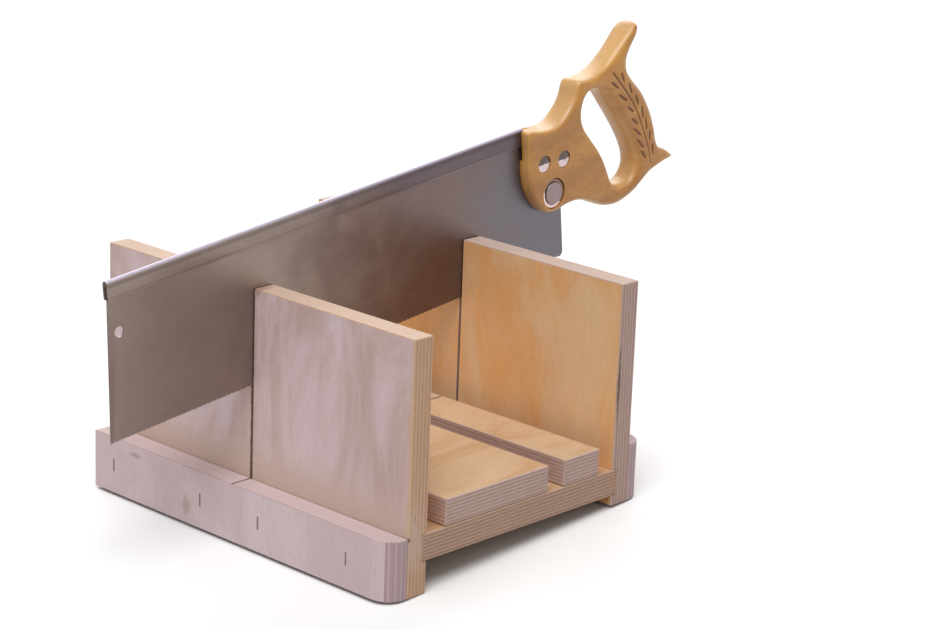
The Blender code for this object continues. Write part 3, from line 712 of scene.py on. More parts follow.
# %% Steel of the plate and of the back
def saw_steel(name, tones, polish_and_highlight, streak, roughness, bands=()):
    """tones are the colours at the toe, in the middle and at the heel."""
    material, tree, shader, spot = start_material(name, Metallic=0.85)
    spot = saw_spot(tree, spot)
    parts = split(tree, spot)
    metal = use_group(tree, ground_metal, Vector=spot, Scratch_Size=0.0006, Stretch=0.03,
                      Patch_Size=0.045)
    wear = use_group(tree, edge_wear, Vector=spot, Reach=0.0006, Smudge_Size=0.09)
    wander = calc(tree, "SUBTRACT", metal["Patch"], 0.5)
    along = total(tree, parts[0], (wander, 0.06))
    tone = blend(tree, ramp(tree, along, *TOE_TO_MIDDLE), tones[0], tones[1])
    tone = blend(tree, ramp(tree, along, *MIDDLE_TO_HEEL), tone, tones[2])
    tone = overlay(tree, tone, (metal["Patch"], 0.14, (104, 92, 88)),
                   (metal["Scratch"], streak, polish_and_highlight), (metal["Spots"], 0.30, (74, 62, 56)),
                   (wear["Edge"], 0.65, polish_and_highlight))
    # Bands of painted shade and painted highlight across the back.
    for low, high, painted_band_tone, amount in bands:
        above_low = ramp(tree, parts[2], low - BAND_SOFT, low + BAND_SOFT)
        below_high = ramp(tree, parts[2], high + BAND_SOFT, high - BAND_SOFT)
        inside = times(tree, above_low, below_high)
        tone = overlay(tree, tone, (inside, amount, painted_band_tone))
    turned = split(tree, place(tree, "TexCoord").outputs["Normal"])
    # Faces turned up, as on the back's crest, get a painted highlight, and faces turned to the
    # toe get painted shade.
    tone = blend(tree, ramp(tree, turned["Z"], 0.25, 0.85), tone, polish_and_highlight)
    tone = blend(tree, ramp(tree, turned["X"], -0.5, -0.9), tone, (88, 74, 66))
    shine = total(tree, roughness - 0.05, (metal["Scratch"], 0.10), (wear["Smudge"], 0.08))
    end_material(tree, shader, tone, shine, metal["Scratch"], 0.00002)
    return material


plate_tones = ((152, 138, 129), (115, 97, 95), (108, 105, 112))
plate_steel = saw_steel("plate_steel", plate_tones, (182, 176, 176), 0.08, 0.34)
back_tones = ((151, 136, 127), (104, 91, 95), (98, 88, 94))
back_steel = saw_steel("back_steel", back_tones, (180, 172, 186), 0.02, 0.32, BACK_SHADE_AND_HIGHLIGHT_BANDS)
print("steels:", plate_steel.name, back_steel.name)

# %% [markdown]
# ## The toothed plate
#
# Saw teeth are set: each is bent a little to one side, the next to the other, so that
# the kerf comes out wider than the plate. They are also filed at an angle, which gives
# every other tooth its point on the near side. The plate is one outline with its holes,
# filled on both sides, and only the tooth points are then moved.

# %% Outline of the plate
TOOTH_PITCH = 0.0023
TOOTH_DEPTH = 0.0014
TOOTH_BACK_SHARE = 0.68
TOOTH_SET = 0.00022
TOOTH_BEVEL = 0.00035
TOE_LEAN = 0.010
STEP_DOWN = 0.002
HEEL_STEPS = 10

tooth_run = BLADE_LENGTH - HEEL_RADIUS
tooth_count = round(tooth_run / TOOTH_PITCH)
pitch = tooth_run / tooth_count
plate_outline = []
for tooth in range(tooth_count):
    tip = -BLADE_LENGTH + tooth * pitch
    plate_outline += [(tip, 0.0), (tip + TOOTH_BACK_SHARE * pitch, TOOTH_DEPTH)]
plate_outline += arc((-HEEL_RADIUS, HEEL_RADIUS), HEEL_RADIUS, -math.pi / 2, 0, HEEL_STEPS)
step_at = HANDLE_FRONT + BACK_LET_IN - 2 * GAP
plate_top = BLADE_DEPTH + BACK_GRIP
plate_outline += [(0, BLADE_DEPTH - STEP_DOWN), (step_at, BLADE_DEPTH - STEP_DOWN),
                  (step_at, plate_top), (-BLADE_LENGTH + TOE_LEAN, plate_top)]
print("teeth:", tooth_count, "pitch:", round(pitch * 1000, 3), "mm")

# %% Holes of the plate
HANG_HOLE = (-BLADE_LENGTH + 0.0166, 0.0771)
HANG_HOLE_RADIUS = 0.0038
SHANK_HOLE_RADIUS = 0.0025
HANG_HOLE_SIDES, SHANK_HOLE_SIDES = 48, 24
# Along as a share of the plate inside the handle, up as a share of the handle's height
FASTENERS = {"nut_front": (0.388, 0.397), "nut_rear": (0.882, 0.385),
             "medallion": (0.597, 0.213)}


def fastener_at(label):
    along, up = FASTENERS[label]
    return (HANDLE_FRONT - along * HANDLE_FRONT, HANDLE_FLOOR + up * HANDLE_HEIGHT)


plate_holes = [circle(HANG_HOLE, HANG_HOLE_RADIUS, HANG_HOLE_SIDES)]
plate_holes += [circle(fastener_at(label), SHANK_HOLE_RADIUS, SHANK_HOLE_SIDES)
                for label in FASTENERS]
print("holes:", len(plate_holes))


# %% Build the plate
def plate_side(points, side):
    """The corners of one side of the plate, with the tooth points bent and bevelled."""
    corners = []
    for number, (along, up) in enumerate(points):
        across = side * HALF_BLADE
        if up == 0.0 and number < 2 * tooth_count:
            bent = 1 if (number // 2) % 2 else -1
            across += bent * TOOTH_SET
            along -= side * bent * TOOTH_BEVEL / 2
        corners.append((along, across, up))
    return corners


def build_plate(loops):
    shape = bmesh.new()
    flat = [point for loop in loops for point in loop]
    sheets = [[shape.verts.new(corner) for corner in plate_side(flat, side)]
              for side in (-1, 1)]
    loops = places_of(loops)
    triangles = fill_between(flat, loops)
    for sheet in sheets:
        add_faces(shape, ([sheet[corner] for corner in triangle] for triangle in triangles))
    for loop in loops:
        add_faces(shape, band(*(sheet[loop.start:loop.stop] for sheet in sheets)))
    return finish_mesh("plate", shape)


plate_mesh = build_plate([plate_outline, *plate_holes])
plate_mesh.materials.append(plate_steel)
saw_piece("toothed_plate", plate_mesh, "saw_blade", smooth_angle=25)

# %% [markdown]
# ## The folded back
#
# The back is a strip of steel folded over the plate's top edge to keep it stiff. Its two
# lower edges are sheared and slightly rounded over, and its toe end is dressed with a
# file. A cross-section is drawn with a round crest and run along the plate, and its end
# at the toe is drawn in by a hair.

# %% Cross-section of the back
SHEARED_RADIUS = 0.0005
HALF_BACK = BACK_THICK / 2
HALF_SLOT = HALF_BLADE + GAP
CREST_STEPS, SHEARED_STEPS = 24, 4
HALF_TURN, QUARTER_TURN = math.pi, math.pi / 2

sheared_up = BLADE_DEPTH + SHEARED_RADIUS
sheared_in = HALF_BACK - SHEARED_RADIUS
slot_top = BLADE_DEPTH + BACK_GRIP + GAP
section = arc((0, BACK_TOP - HALF_BACK), HALF_BACK, 0, HALF_TURN, CREST_STEPS)
section += arc((-sheared_in, sheared_up), SHEARED_RADIUS, HALF_TURN,
               HALF_TURN + QUARTER_TURN, SHEARED_STEPS)
section += [(-HALF_SLOT, BLADE_DEPTH), (-HALF_SLOT, slot_top),
            (HALF_SLOT, slot_top), (HALF_SLOT, BLADE_DEPTH)]
section += arc((sheared_in, sheared_up), SHEARED_RADIUS, -QUARTER_TURN, 0, SHEARED_STEPS)
print("points round the back:", len(section))

# %% Build the back
# Distance from the toe end, and how far the section is drawn in there
TOE_DRESSING = ((0.0, 0.0006), (0.0002, 0.0002), (0.0007, 0.0))
TOE_OVERHANG = 0.0012


def drawn_corner(along, across, up, drawn_in):
    """The slot for the plate keeps its width, and the rest is drawn in."""
    inward = Vector((0, -across, BLADE_DEPTH + BACK_HEIGHT / 2 - up)).normalized()
    in_slot = abs(across) <= HALF_SLOT and BLADE_DEPTH < up < BACK_TOP - HALF_BACK
    return Vector((along, across, up)) + inward * (0.0 if in_slot else drawn_in)


def solid_along(section, places):
    """A solid of one section, whose places along the saw say how far it is drawn in."""
    shape = bmesh.new()
    rings = [[shape.verts.new(drawn_corner(along, *point, drawn_in)) for point in section]
             for along, drawn_in in places]
    for first, second in zip(rings, rings[1:]):
        add_faces(shape, band(first, second))
    triangles = fill_between(section, [range(len(section))])
    for ring in (rings[0], rings[-1]):
        add_faces(shape, ([ring[corner] for corner in triangle] for triangle in triangles))
    return shape


toe_end = -BLADE_LENGTH + TOE_LEAN - TOE_OVERHANG
back_places = [(toe_end + off, drawn_in) for off, drawn_in in TOE_DRESSING]
back_places.append((HANDLE_FRONT + BACK_LET_IN - GAP, 0.0))
back_mesh = finish_mesh("back", solid_along(section, back_places))
back_mesh.materials.append(back_steel)
saw_piece("folded_back", back_mesh, "saw_back", smooth_angle=40)

# %% [markdown]
# ## The handle's outline
#
# The handle is sawn from a board 22 mm thick and then rounded by hand with rasps: hardly
# at all where it holds the plate, and a lot where the palm and fingers close round it.
# The outline is a smooth curve through points given as shares of the handle's length and
# height. Each point also says how far the edge is rounded there, in millimetres.

# %% Points of the outline and of the hand hole
# Along, up, rounding
OUTLINE_SHARES = (
    (0.012, 0.602, 2.6), (0.005, 0.588, 2.2), (0.006, 0.485, 2.0), (0.000, 0.365, 2.0),
    (0.012, 0.277, 2.2), (0.047, 0.191, 2.6), (0.105, 0.120, 3.0), (0.170, 0.106, 3.2),
    (0.234, 0.117, 3.2), (0.298, 0.118, 3.6), (0.363, 0.101, 4.2), (0.433, 0.061, 5.0),
    (0.503, 0.020, 5.5), (0.579, 0.000, 6.0), (0.655, 0.010, 6.0), (0.725, 0.039, 5.5),
    (0.784, 0.080, 5.0), (0.836, 0.114, 4.5), (0.912, 0.137, 4.0), (0.972, 0.150, 4.0),
    (0.990, 0.158, 4.0), (0.984, 0.172, 4.0), (0.955, 0.205, 4.0), (0.900, 0.245, 4.5),
    (0.885, 0.294, 5.5), (0.877, 0.365, 6.0), (0.850, 0.477, 6.5), (0.798, 0.594, 6.5),
    (0.731, 0.689, 6.0), (0.698, 0.749, 6.0), (0.698, 0.808, 6.5), (0.729, 0.879, 7.5),
    (0.774, 0.950, 8.0), (0.789, 0.984, 8.0), (0.774, 0.998, 8.0), (0.744, 0.984, 8.0),
    (0.690, 0.938, 7.5), (0.629, 0.883, 6.5), (0.556, 0.824, 5.8), (0.485, 0.789, 5.4),
    (0.421, 0.778, 5.0), (0.368, 0.783, 5.0), (0.345, 0.756, 5.2), (0.319, 0.692, 5.4),
    (0.272, 0.631, 5.0), (0.216, 0.587, 4.2), (0.164, 0.575, 3.4), (0.094, 0.584, 2.8),
    (0.041, 0.600, 2.6), (0.024, 0.604, 2.6),
)
HOLE_SHARES = (
    (0.439, 0.708, 5.0), (0.392, 0.678, 3.4), (0.368, 0.625, 2.6), (0.363, 0.569, 2.6),
    (0.380, 0.506, 2.6), (0.421, 0.437, 2.6), (0.468, 0.362, 3.0), (0.509, 0.280, 3.4),
    (0.541, 0.192, 4.5), (0.564, 0.139, 6.0), (0.602, 0.108, 8.0), (0.649, 0.099, 8.5),
    (0.696, 0.118, 8.5), (0.724, 0.168, 8.5), (0.727, 0.231, 8.5), (0.706, 0.308, 8.5),
    (0.670, 0.393, 8.5), (0.623, 0.485, 8.5), (0.579, 0.565, 8.5), (0.535, 0.646, 8.0),
    (0.491, 0.696, 7.0),
)
print("points:", len(OUTLINE_SHARES), "and", len(HOLE_SHARES))


# %% Smooth curves through the points
def handle_curve(shares, steps=12):
    """Points of the smooth closed curve, and the rounding at each, in metres."""
    shares = np.array(shares)[:, None]
    size = (HANDLE_LENGTH, HANDLE_HEIGHT)
    spots = np.array((HANDLE_FRONT, HANDLE_FLOOR)) + shares[..., :2] * size
    rounding = shares[..., 2:] / 1000
    after, before = np.roll(spots, -1, axis=0), np.roll(spots, 1, axis=0)
    heading = after - before
    heading /= np.linalg.norm(heading, axis=2, keepdims=True)
    pull = np.linalg.norm(after - spots, axis=2, keepdims=True) / 3
    out_of, into = spots + heading * pull, after - np.roll(heading, -1, axis=0) * pull
    t = np.arange(steps)[:, None] / steps
    curve = ((1 - t) ** 3 * spots + 3 * (1 - t) ** 2 * t * out_of
             + 3 * (1 - t) * t ** 2 * into + t ** 3 * after)
    soft = rounding * (1 - t) + np.roll(rounding, -1, axis=0) * t
    return curve.reshape(-1, 2), soft.reshape(-1)


outline, outline_soft = handle_curve(OUTLINE_SHARES)
hand_hole, hole_soft = handle_curve(HOLE_SHARES)
print("outline points:", len(outline), "hand hole points:", len(hand_hole))


# %% Edges of both loops, as one list
def moved_on(values, steps):
    """Each value changes place with one further on round its own loop."""
    loops = np.split(values, [len(outline)])
    return np.concatenate([np.roll(loop, -steps, axis=0) for loop in loops])


edge_starts = np.concatenate([outline, hand_hole])
edge_ends = moved_on(edge_starts, 1)
edge_run = edge_ends - edge_starts
print("edges:", len(edge_run))

# %% [markdown]
# ## How a rasp rounds the handle
#
# For any point of the handle's side, the nearest edge says how much wood the rasp has
# taken there: none further in than the rounding, and more and more towards the edge,
# along a quarter of an ellipse. So the surface's height is worked out from the distance
# to the outline. Where the wood is thin, the two roundings may not meet, so the room
# behind each edge limits them.


# %% Distance to the edge
def nearest_edge(points, starts, ends, at_once=2000):
    """Distance from each point to the nearest edge, and which edge that is."""
    best = np.full(len(points), np.inf)
    which = np.zeros(len(points), int)
    run = ends - starts
    for first in range(0, len(points), at_once):
        some = slice(first, first + at_once)
        share = ((points[some, None] - starts) * run).sum(2) / (run ** 2).sum(1)
        foot = starts + np.clip(share, 0, 1)[..., None] * run
        away = np.linalg.norm(points[some, None] - foot, axis=2)
        which[some], best[some] = away.argmin(1), away.min(1)
    return best, which


# %% Room behind the edge
OWN_EDGE = 0.0015
NEVER_ZERO = 1e-12


def crossed(first, second):
    return first[..., 0] * second[..., 1] - first[..., 1] * second[..., 0]


def wood_behind(inward):
    """How far it is through the wood from each point of the loops to the next edge."""
    apart = edge_starts - edge_starts[:, None]
    turn = crossed(inward[:, None], edge_run)
    turn = np.where(np.abs(turn) < NEVER_ZERO, NEVER_ZERO, turn)
    reach = crossed(apart, edge_run) / turn
    share = crossed(apart, inward[:, None]) / turn
    hit = (share >= 0) & (share <= 1) & (reach > OWN_EDGE)
    return np.where(hit, reach, 1.0).min(1)


heading = edge_ends - moved_on(edge_starts, -1)
edge_inward = np.stack([-heading[:, 1], heading[:, 0]], 1)
edge_inward /= np.linalg.norm(edge_inward, axis=1, keepdims=True)
edge_inward[len(outline):] *= -1
room = wood_behind(edge_inward)
print("thinnest wood:", round(float(room.min()) * 1000, 1), "mm")

# %% Rounding that the wood has room for
ROOM_SHARE = 0.47
EASE_OVER = range(-6, 7)

soft = np.minimum(np.concatenate([outline_soft, hole_soft]), ROOM_SHARE * room)
soft = sum(moved_on(soft, steps) for steps in EASE_OVER) / len(EASE_OVER)
edge_soft = (soft + moved_on(soft, 1)) / 2
print("rounding from", round(float(soft.min()) * 1000, 1),
      "to", round(float(soft.max()) * 1000, 1), "mm")

# %% [markdown]
# ## The carved ear
#
# The ear of wheat is cut the same way: each leaf is a lens-shaped groove, and the stem a
# narrow one that thins out downwards. One number at each point says how deep the knife
# went, and the same number later tells the wood where it is coloured dark.

# %% Leaves and stem of the carving
# Each leaf from its stem end to its tip, along and up from the heel, in millimetres
LEAVES = (
    (52.7, 130.0, 60.2, 123.7), (61.1, 117.7, 69.9, 111.0), (70.9, 105.4, 77.3, 100.1),
    (75.3, 94.8, 81.8, 89.0), (78.0, 85.4, 85.7, 78.4), (81.9, 75.6, 88.3, 67.6),
    (85.8, 65.0, 91.1, 57.7), (64.8, 134.7, 67.5, 126.8), (73.4, 124.5, 76.1, 115.6),
    (80.8, 112.8, 83.6, 104.2), (87.7, 101.9, 89.2, 92.4), (92.2, 90.4, 93.1, 81.4),
    (96.7, 78.8, 96.5, 71.3), (99.4, 67.2, 99.8, 59.1),
)
STEM = ((54.8, 137.2), (62.1, 128.1), (70.1, 117.9), (77.0, 108.0), (82.7, 97.4),
        (87.2, 86.3), (91.7, 74.3), (95.0, 63.4), (97.0, 51.4))
LEAF_HALF_WIDTH = 0.00125
LEAF_DEPTH = 0.0009
LEAF_LONGER = 0.10
LEAF_STEEPNESS = 1.4
STEM_HALF_WIDTHS = (0.00090, 0.00045)
STEM_DEPTH = 0.0007
print("leaves:", len(LEAVES))


# %% Depth of the carving
def leaf_groove(points, leaf):
    start, end = np.array(leaf[:2]) / 1000, np.array(leaf[2:]) / 1000
    start, end = start - LEAF_LONGER * (end - start), end + LEAF_LONGER * (end - start)
    length = np.linalg.norm(end - start)
    heading = (end - start) / length
    along = np.clip((points - start) @ heading / length, 0, 1)
    across = np.abs((points - start) @ np.array((-heading[1], heading[0])))
    width = LEAF_HALF_WIDTH * np.sqrt(4 * along * (1 - along))
    hollow = 1 - (across / np.maximum(width, NEVER_ZERO)) ** 2
    steep = np.clip(width / LEAF_HALF_WIDTH * LEAF_STEEPNESS, 0, 1)
    return np.where(across < width, hollow * steep, 0)


def stem_groove(points):
    stem = np.array(STEM) / 1000
    away, _ = nearest_edge(points, stem[:-1], stem[1:])
    down = np.clip((stem[0, 1] - points[:, 1]) / (stem[0, 1] - stem[-1, 1]), 0, 1)
    width = STEM_HALF_WIDTHS[0] * (1 - down) + STEM_HALF_WIDTHS[1] * down
    return (1 - np.clip(away / width, 0, 1) ** 2) * STEM_DEPTH / LEAF_DEPTH


def carved(points):
    """How deep the carving is at each point, as a share of the leaf's depth."""
    return np.maximum.reduce([leaf_groove(points, leaf) for leaf in LEAVES]
                             + [stem_groove(points)])


# %% [markdown]
# The side of the handle is a net of triangles, fine where the surface bends: in rings
# that follow the edges, and in a close grid over the grooves. A wide grid fills the rest.

# %% Scatter the points of the handle's side
CELL = 0.0010
RINGS = 8
RING_APART, GROOVE_APART, WIDE_APART = 0.0005, 0.0003, 0.0010
GROOVE_STEP, WIDE_STEP = 0.00036, 0.0020
GROOVE_LOW, GROOVE_HIGH = (0.050, 0.048), (0.103, 0.140)
WIDE_FROM_EDGE = 0.0008
# A ring's point counts while no other edge is nearer than this share of its inset
STILL_OWN, ROUNDING_ERROR = 0.97, 1e-6


def thin_out(batches):
    """Keeps each point unless an earlier one lies nearer than its batch allows."""
    seen, kept = {}, []
    for points, apart in batches:
        for point in points:
            column, row = int(point[0] // CELL), int(point[1] // CELL)
            cells = itertools.product(range(column - 1, column + 2), range(row - 1, row + 2))
            near = (other for cell in cells for other in seen.get(cell, ()))
            if all(math.dist(point, other) > apart for other in near):
                seen.setdefault((column, row), []).append(point)
                kept.append(point)
    return kept


def lattice(low, high, step):
    across, up = np.meshgrid(np.arange(low[0], high[0], step),
                             np.arange(low[1], high[1], step))
    up[:, ::2] += step / 2
    return np.stack([across.ravel(), up.ravel()], 1)


batches = [(edge_starts, 0.0)]
for turn in np.linspace(0, QUARTER_TURN, RINGS + 1)[1:]:
    inset = soft * (1 - math.cos(turn))
    ring = edge_starts + edge_inward * inset[:, None]
    away, _ = nearest_edge(ring, edge_starts, edge_ends)
    batches.append((ring[away > inset * STILL_OWN - ROUNDING_ERROR], RING_APART))

grid = lattice(GROOVE_LOW, GROOVE_HIGH, GROOVE_STEP)
shifts = np.array(((0, 0), (1, 0), (-1, 0), (0, 1), (0, -1))) * GROOVE_APART
near_groove = np.max([carved(grid + shift) for shift in shifts], axis=0) > 0
batches.append((grid[near_groove], GROOVE_APART))

grid = lattice(edge_starts.min(0), edge_starts.max(0), WIDE_STEP)
away, _ = nearest_edge(grid, edge_starts, edge_ends)
batches.append((grid[away > WIDE_FROM_EDGE], WIDE_APART))
side_points = thin_out(batches)
print("points on each side:", len(side_points))

# %% Height of each cheek
HORN_TIP = np.array((HANDLE_FRONT + 0.787 * HANDLE_LENGTH,
                     HANDLE_FLOOR + 0.998 * HANDLE_HEIGHT))
HORN_TAPER = 0.015
HORN_TIP_SHARE = 0.36
LEAST_ROUNDING = 0.0008
MOST_TAKEN = 0.85
FAR_CORNER = (HANDLE_FRONT + 0.016, BACK_TOP - 0.006)
FAR_CORNER_SOFT = 0.0090


def raised_side(points, soften):
    """Half the handle's thickness at each point, and how much the rasp took there."""
    away, which = nearest_edge(points, edge_starts, edge_ends)
    rounding = np.maximum(soften[which], LEAST_ROUNDING)
    inside = np.clip(away / rounding, 0, 1)
    taken = 1 - np.sqrt(np.clip(1 - (1 - inside) ** 2, 0, 1))
    from_tip = np.clip(np.linalg.norm(points - HORN_TIP, axis=1) / HORN_TAPER, 0, 1)
    thinned = HORN_TIP_SHARE + (1 - HORN_TIP_SHARE) * np.sqrt(1 - (1 - from_tip) ** 2)
    half = HALF_HANDLE * thinned
    return half - np.minimum(rounding, MOST_TAKEN * half) * taken, taken


def far_softness():
    """The far cheek is rounded more at its front corner, where the back meets it."""
    middle = (edge_starts + edge_ends) / 2
    at_corner = (middle[:, 0] < FAR_CORNER[0]) & (middle[:, 1] > FAR_CORNER[1])
    return np.where(at_corner, FAR_CORNER_SOFT, edge_soft)


print("the far corner is rounded by", FAR_CORNER_SOFT * 1000, "mm")


# %% Join the points into a handle
def build_handle():
    # The fill rounds places to 32-bit numbers, so the heights are worked out from those
    places = np.array([Vector(point) for point in side_points])
    depth = carved(places)
    near_height, near_taken = raised_side(places, edge_soft)
    far_height, far_taken = raised_side(places, far_softness())
    cheeks = [np.stack([places[:, 0], across, places[:, 1]], 1)
              for across in (depth * LEAF_DEPTH - near_height, far_height - depth * LEAF_DEPTH)]
    count = len(places)
    loops = places_of([outline, hand_hole])
    faces = []
    for triangle in fill_between(places, loops):
        faces += [triangle, tuple(corner + count for corner in triangle[::-1])]
    for loop in loops:
        faces += band(loop, range(loop.start + count, loop.stop + count))
    mesh = bpy.data.meshes.new("handle")
    mesh.from_pydata(np.concatenate(cheeks).tolist(), [], faces)
    for name, values in (("carved", (depth, depth)), ("rounded", (near_taken, far_taken))):
        mark = mesh.attributes.new(name, "FLOAT", "POINT")
        mark.data.foreach_set("value", np.concatenate(values).astype(np.float32))
    return mesh


def clean_up(mesh):
    """Leaves out loose points, turns all faces outward, and counts the open edges."""
    shape = bmesh.new()
    shape.from_mesh(mesh)
    loose = [corner for corner in shape.verts if not corner.link_faces]
    bmesh.ops.delete(shape, geom=loose, context="VERTS")
    bmesh.ops.recalc_face_normals(shape, faces=shape.faces)
    open_edges = sum(len(edge.link_faces) != 2 for edge in shape.edges)
    shape.to_mesh(mesh)
    shape.free()
    return open_edges


handle_mesh = build_handle()
print("open edges:", clean_up(handle_mesh), "faces:", len(handle_mesh.polygons))

# %% [markdown]
# ## Fastening the handle
#
# The handle is slotted for the plate, grooved for the end of the back, and bored for two
# small saw nuts and one large medallion bolt. All these are cuts in the finished handle,
# made with exact booleans, so the wood shows true thickness where it is cut.

# %% Sizes of the nuts, bolts and medallion
NUT_RADIUS = 0.0066
NUT_THICK = 0.0022
NUT_SUNK = 0.0002
NUT_DOME = 0.0006
BARREL_RADIUS = 0.0036
BARREL_LENGTH = 0.006
BOLT_RADIUS = 0.0022
BOLT_IN_BARREL = 0.0045
MEDALLION_RADIUS = 0.0120
MEDALLION_THICK = 0.0026
MEDALLION_SUNK = 0.0014
MEDALLION_RAISED = 0.0012
MEDALLION_DISC = 0.0088
SIDES = 64
# The side that the head is on, its radius and thickness, and how deep it lies
SMALL_HEAD = (1, NUT_RADIUS, NUT_THICK, NUT_SUNK)
LARGE_HEAD = (-1, MEDALLION_RADIUS, MEDALLION_THICK, MEDALLION_SUNK)
HEADS = {"nut_front": SMALL_HEAD, "nut_rear": SMALL_HEAD, "medallion": LARGE_HEAD}
print("bolts through the handle:", list(HEADS))


# %% Turned shapes
def turned_shape(profile):
    """A closed turned piece about Z, from (radius, height) points."""
    shape = bmesh.new()
    rings = []
    for radius, height in profile:
        points = circle((0, 0), radius, SIDES if radius else 1)
        corners = [shape.verts.new((*point, height)) for point in points]
        rings.append(corners * (SIDES // len(corners)))
    for first, second in zip(rings, rings[1:]):
        add_faces(shape, band(first, second))
    return shape


def stand_fastener(shape, label, side, sunk):
    """Turns a shape's head to one side of the handle, in the saw's frame."""
    along, up = fastener_at(label)
    turn = Matrix.Rotation(-side * QUARTER_TURN, 4, "X")
    shape.transform(Matrix.Translation((along, side * (HALF_HANDLE - sunk), up)) @ turn)
    return shape


# %% Shapes that are cut away
CUT_OVER = 0.004
GROOVE_DOWN = 0.0115


def rectangle(half, low, high):
    return [(-half, low), (half, low), (half, high), (-half, high)]


def bore_profile(radius, thick, sunk):
    """Room for the head, the shank, the nut's barrel and the nut, from top to bottom."""
    nut_end = sunk - HANDLE_THICK + NUT_SUNK
    nut_top = nut_end + NUT_THICK + GAP
    head_end, barrel_top = -thick - GAP, nut_top + BARREL_LENGTH
    steps = ((radius, CUT_OVER, head_end), (BOLT_RADIUS, head_end, barrel_top),
             (BARREL_RADIUS, barrel_top, nut_top), (NUT_RADIUS, nut_top, nut_end - CUT_OVER))
    profile = [(0, CUT_OVER)]
    for step_radius, top, bottom in steps:
        profile += [(step_radius + GAP, top), (step_radius + GAP, bottom)]
    return profile + [(0, nut_end - CUT_OVER)]


before_handle = HANDLE_FRONT - CUT_OVER
slot = solid_along(
    rectangle(HALF_SLOT, HANDLE_FLOOR - CUT_OVER, BLADE_DEPTH - STEP_DOWN + GAP),
    ((before_handle, 0.0), (GAP, 0.0)))
groove = solid_along(
    rectangle(HALF_BACK + GAP, BLADE_DEPTH - GROOVE_DOWN, BACK_TOP + CUT_OVER),
    ((before_handle, 0.0), (HANDLE_FRONT + BACK_LET_IN, 0.0)))
cuts = [slot, groove]
for label, (side, radius, thick, sunk) in HEADS.items():
    bore = turned_shape(bore_profile(radius, thick, sunk))
    cuts.append(stand_fastener(bore, label, side, sunk))
print("cuts:", len(cuts))

# %% Cut the handle
blank = add_to_scene("handle_blank", handle_mesh)
cutters = [add_to_scene("cutter", finish_mesh("cut", shape)) for shape in cuts]
for cutter in cutters:
    sawn = blank.modifiers.new("cut", "BOOLEAN")
    sawn.operation = "DIFFERENCE"
    sawn.solver = "EXACT"
    sawn.object = cutter
cut_blank = blank.evaluated_get(bpy.context.evaluated_depsgraph_get())
handle_mesh = bpy.data.meshes.new_from_object(cut_blank)
for spare in (*cutters, blank):
    bpy.data.objects.remove(spare)
saw_piece("wooden_handle", handle_mesh, "saw_handle", smooth_angle=38)

# %% [markdown]
# ## Varnished beech
#
# Beech is even and warm, with short dark ray flecks along the grain, and the varnish
# yellows it. The flecks and slow clouds come from the shared figure group, laid along
# the handle's length. Where the rasp took most, the wood is paler, partly from rubbing and
# partly as a painted highlight on the roundings. The carving is coloured dark, and the
# varnish is the shader's own coat.


# %% Wood of the handle
def mark_of(tree, name):
    return place(tree, "Attribute", attribute_name=name).outputs["Fac"]


def varnished_beech(name):
    material, tree, shader, spot = start_material(name, Coat_Weight=0.36,
                                                  Coat_Roughness=0.26)
    spot = saw_spot(tree, spot)
    figure = use_group(tree, wood_figure, Vector=spot, Cloud_Size=0.03, Fibre_Size=0.0011)
    wear = use_group(tree, edge_wear, Vector=spot, Reach=0.0015, Smudge_Size=0.035)
    # Paler where the rasp took most: partly rubbing, partly a painted highlight on the roundings.
    rubbed_and_highlight = ramp(tree, mark_of(tree, "rounded"), 0.0, 0.5)
    cut = ramp(tree, mark_of(tree, "carved"), 0.05, 0.5)
    tone = blend(tree, figure["Cloud"], (200, 138, 44), (171, 108, 28))
    tone = overlay(tree, tone, (figure["Fibre"], 0.16, (156, 102, 46)),
                   (figure["Fleck"], 0.30, (138, 84, 38)),
                   (wear["Smudge"], 0.12, (212, 166, 104)),
                   (wear["Edge"], 0.30, (224, 184, 126)),
                   (rubbed_and_highlight, 0.46, (226, 186, 128)), (cut, 0.9, (112, 66, 30)))
    shine = total(tree, 0.40, (figure["Fleck"], 0.12), (cut, 0.3))
    end_material(tree, shader, tone, shine, times(tree, figure["Fleck"], -1.0), 0.00006)
    return material


beech = varnished_beech("varnished_beech")
handle_mesh.materials.clear()
handle_mesh.materials.append(beech)
print("handle material:", beech.name)

# %% [markdown]
# ## Saw nuts and medallion
#
# The small nuts lie level with the wood and are slightly domed. Their upper half is painted
# dark, a painted shade and dark reflection, and the lower half is bright. The medallion is
# the large head of the third bolt: a rim deep in its recess, painted dark the same way on
# its upper side, and inside it a plain disc that stands almost level with the wood. All are
# turned, so each is a profile spun about its axis, with small round-overs where a real edge
# catches light.


# %% Bright plating with painted shade on one side
def plating_with_painted_shade(name, clean, dull, painted_shade_tone, roughness):
    """A point attribute is above 0 on the side of a head that gets painted shade and a dark
    painted reflection.
    """
    material, tree, shader, spot = start_material(name, Metallic=1.0)
    spot = saw_spot(tree, spot)
    metal = use_group(tree, ground_metal, Vector=spot, Scratch_Size=0.0003, Stretch=0.4,
                      Patch_Size=0.004)
    wear = use_group(tree, edge_wear, Vector=spot, Reach=0.0004, Smudge_Size=0.01)
    # One side of each head is painted dark: painted shade and a dark painted reflection.
    ragged = total(tree, mark_of(tree, "painted_shade_side"), (metal["Patch"], 0.1))
    tone = overlay(tree, clean, (metal["Patch"], 0.5, dull),
                   (ramp(tree, ragged, -0.04, 0.14), 0.92, painted_shade_tone),
                   (wear["Edge"], 0.4, (236, 228, 224)))
    shine = total(tree, roughness, (metal["Scratch"], 0.12))
    end_material(tree, shader, tone, shine, metal["Patch"], 0.00003)
    return material


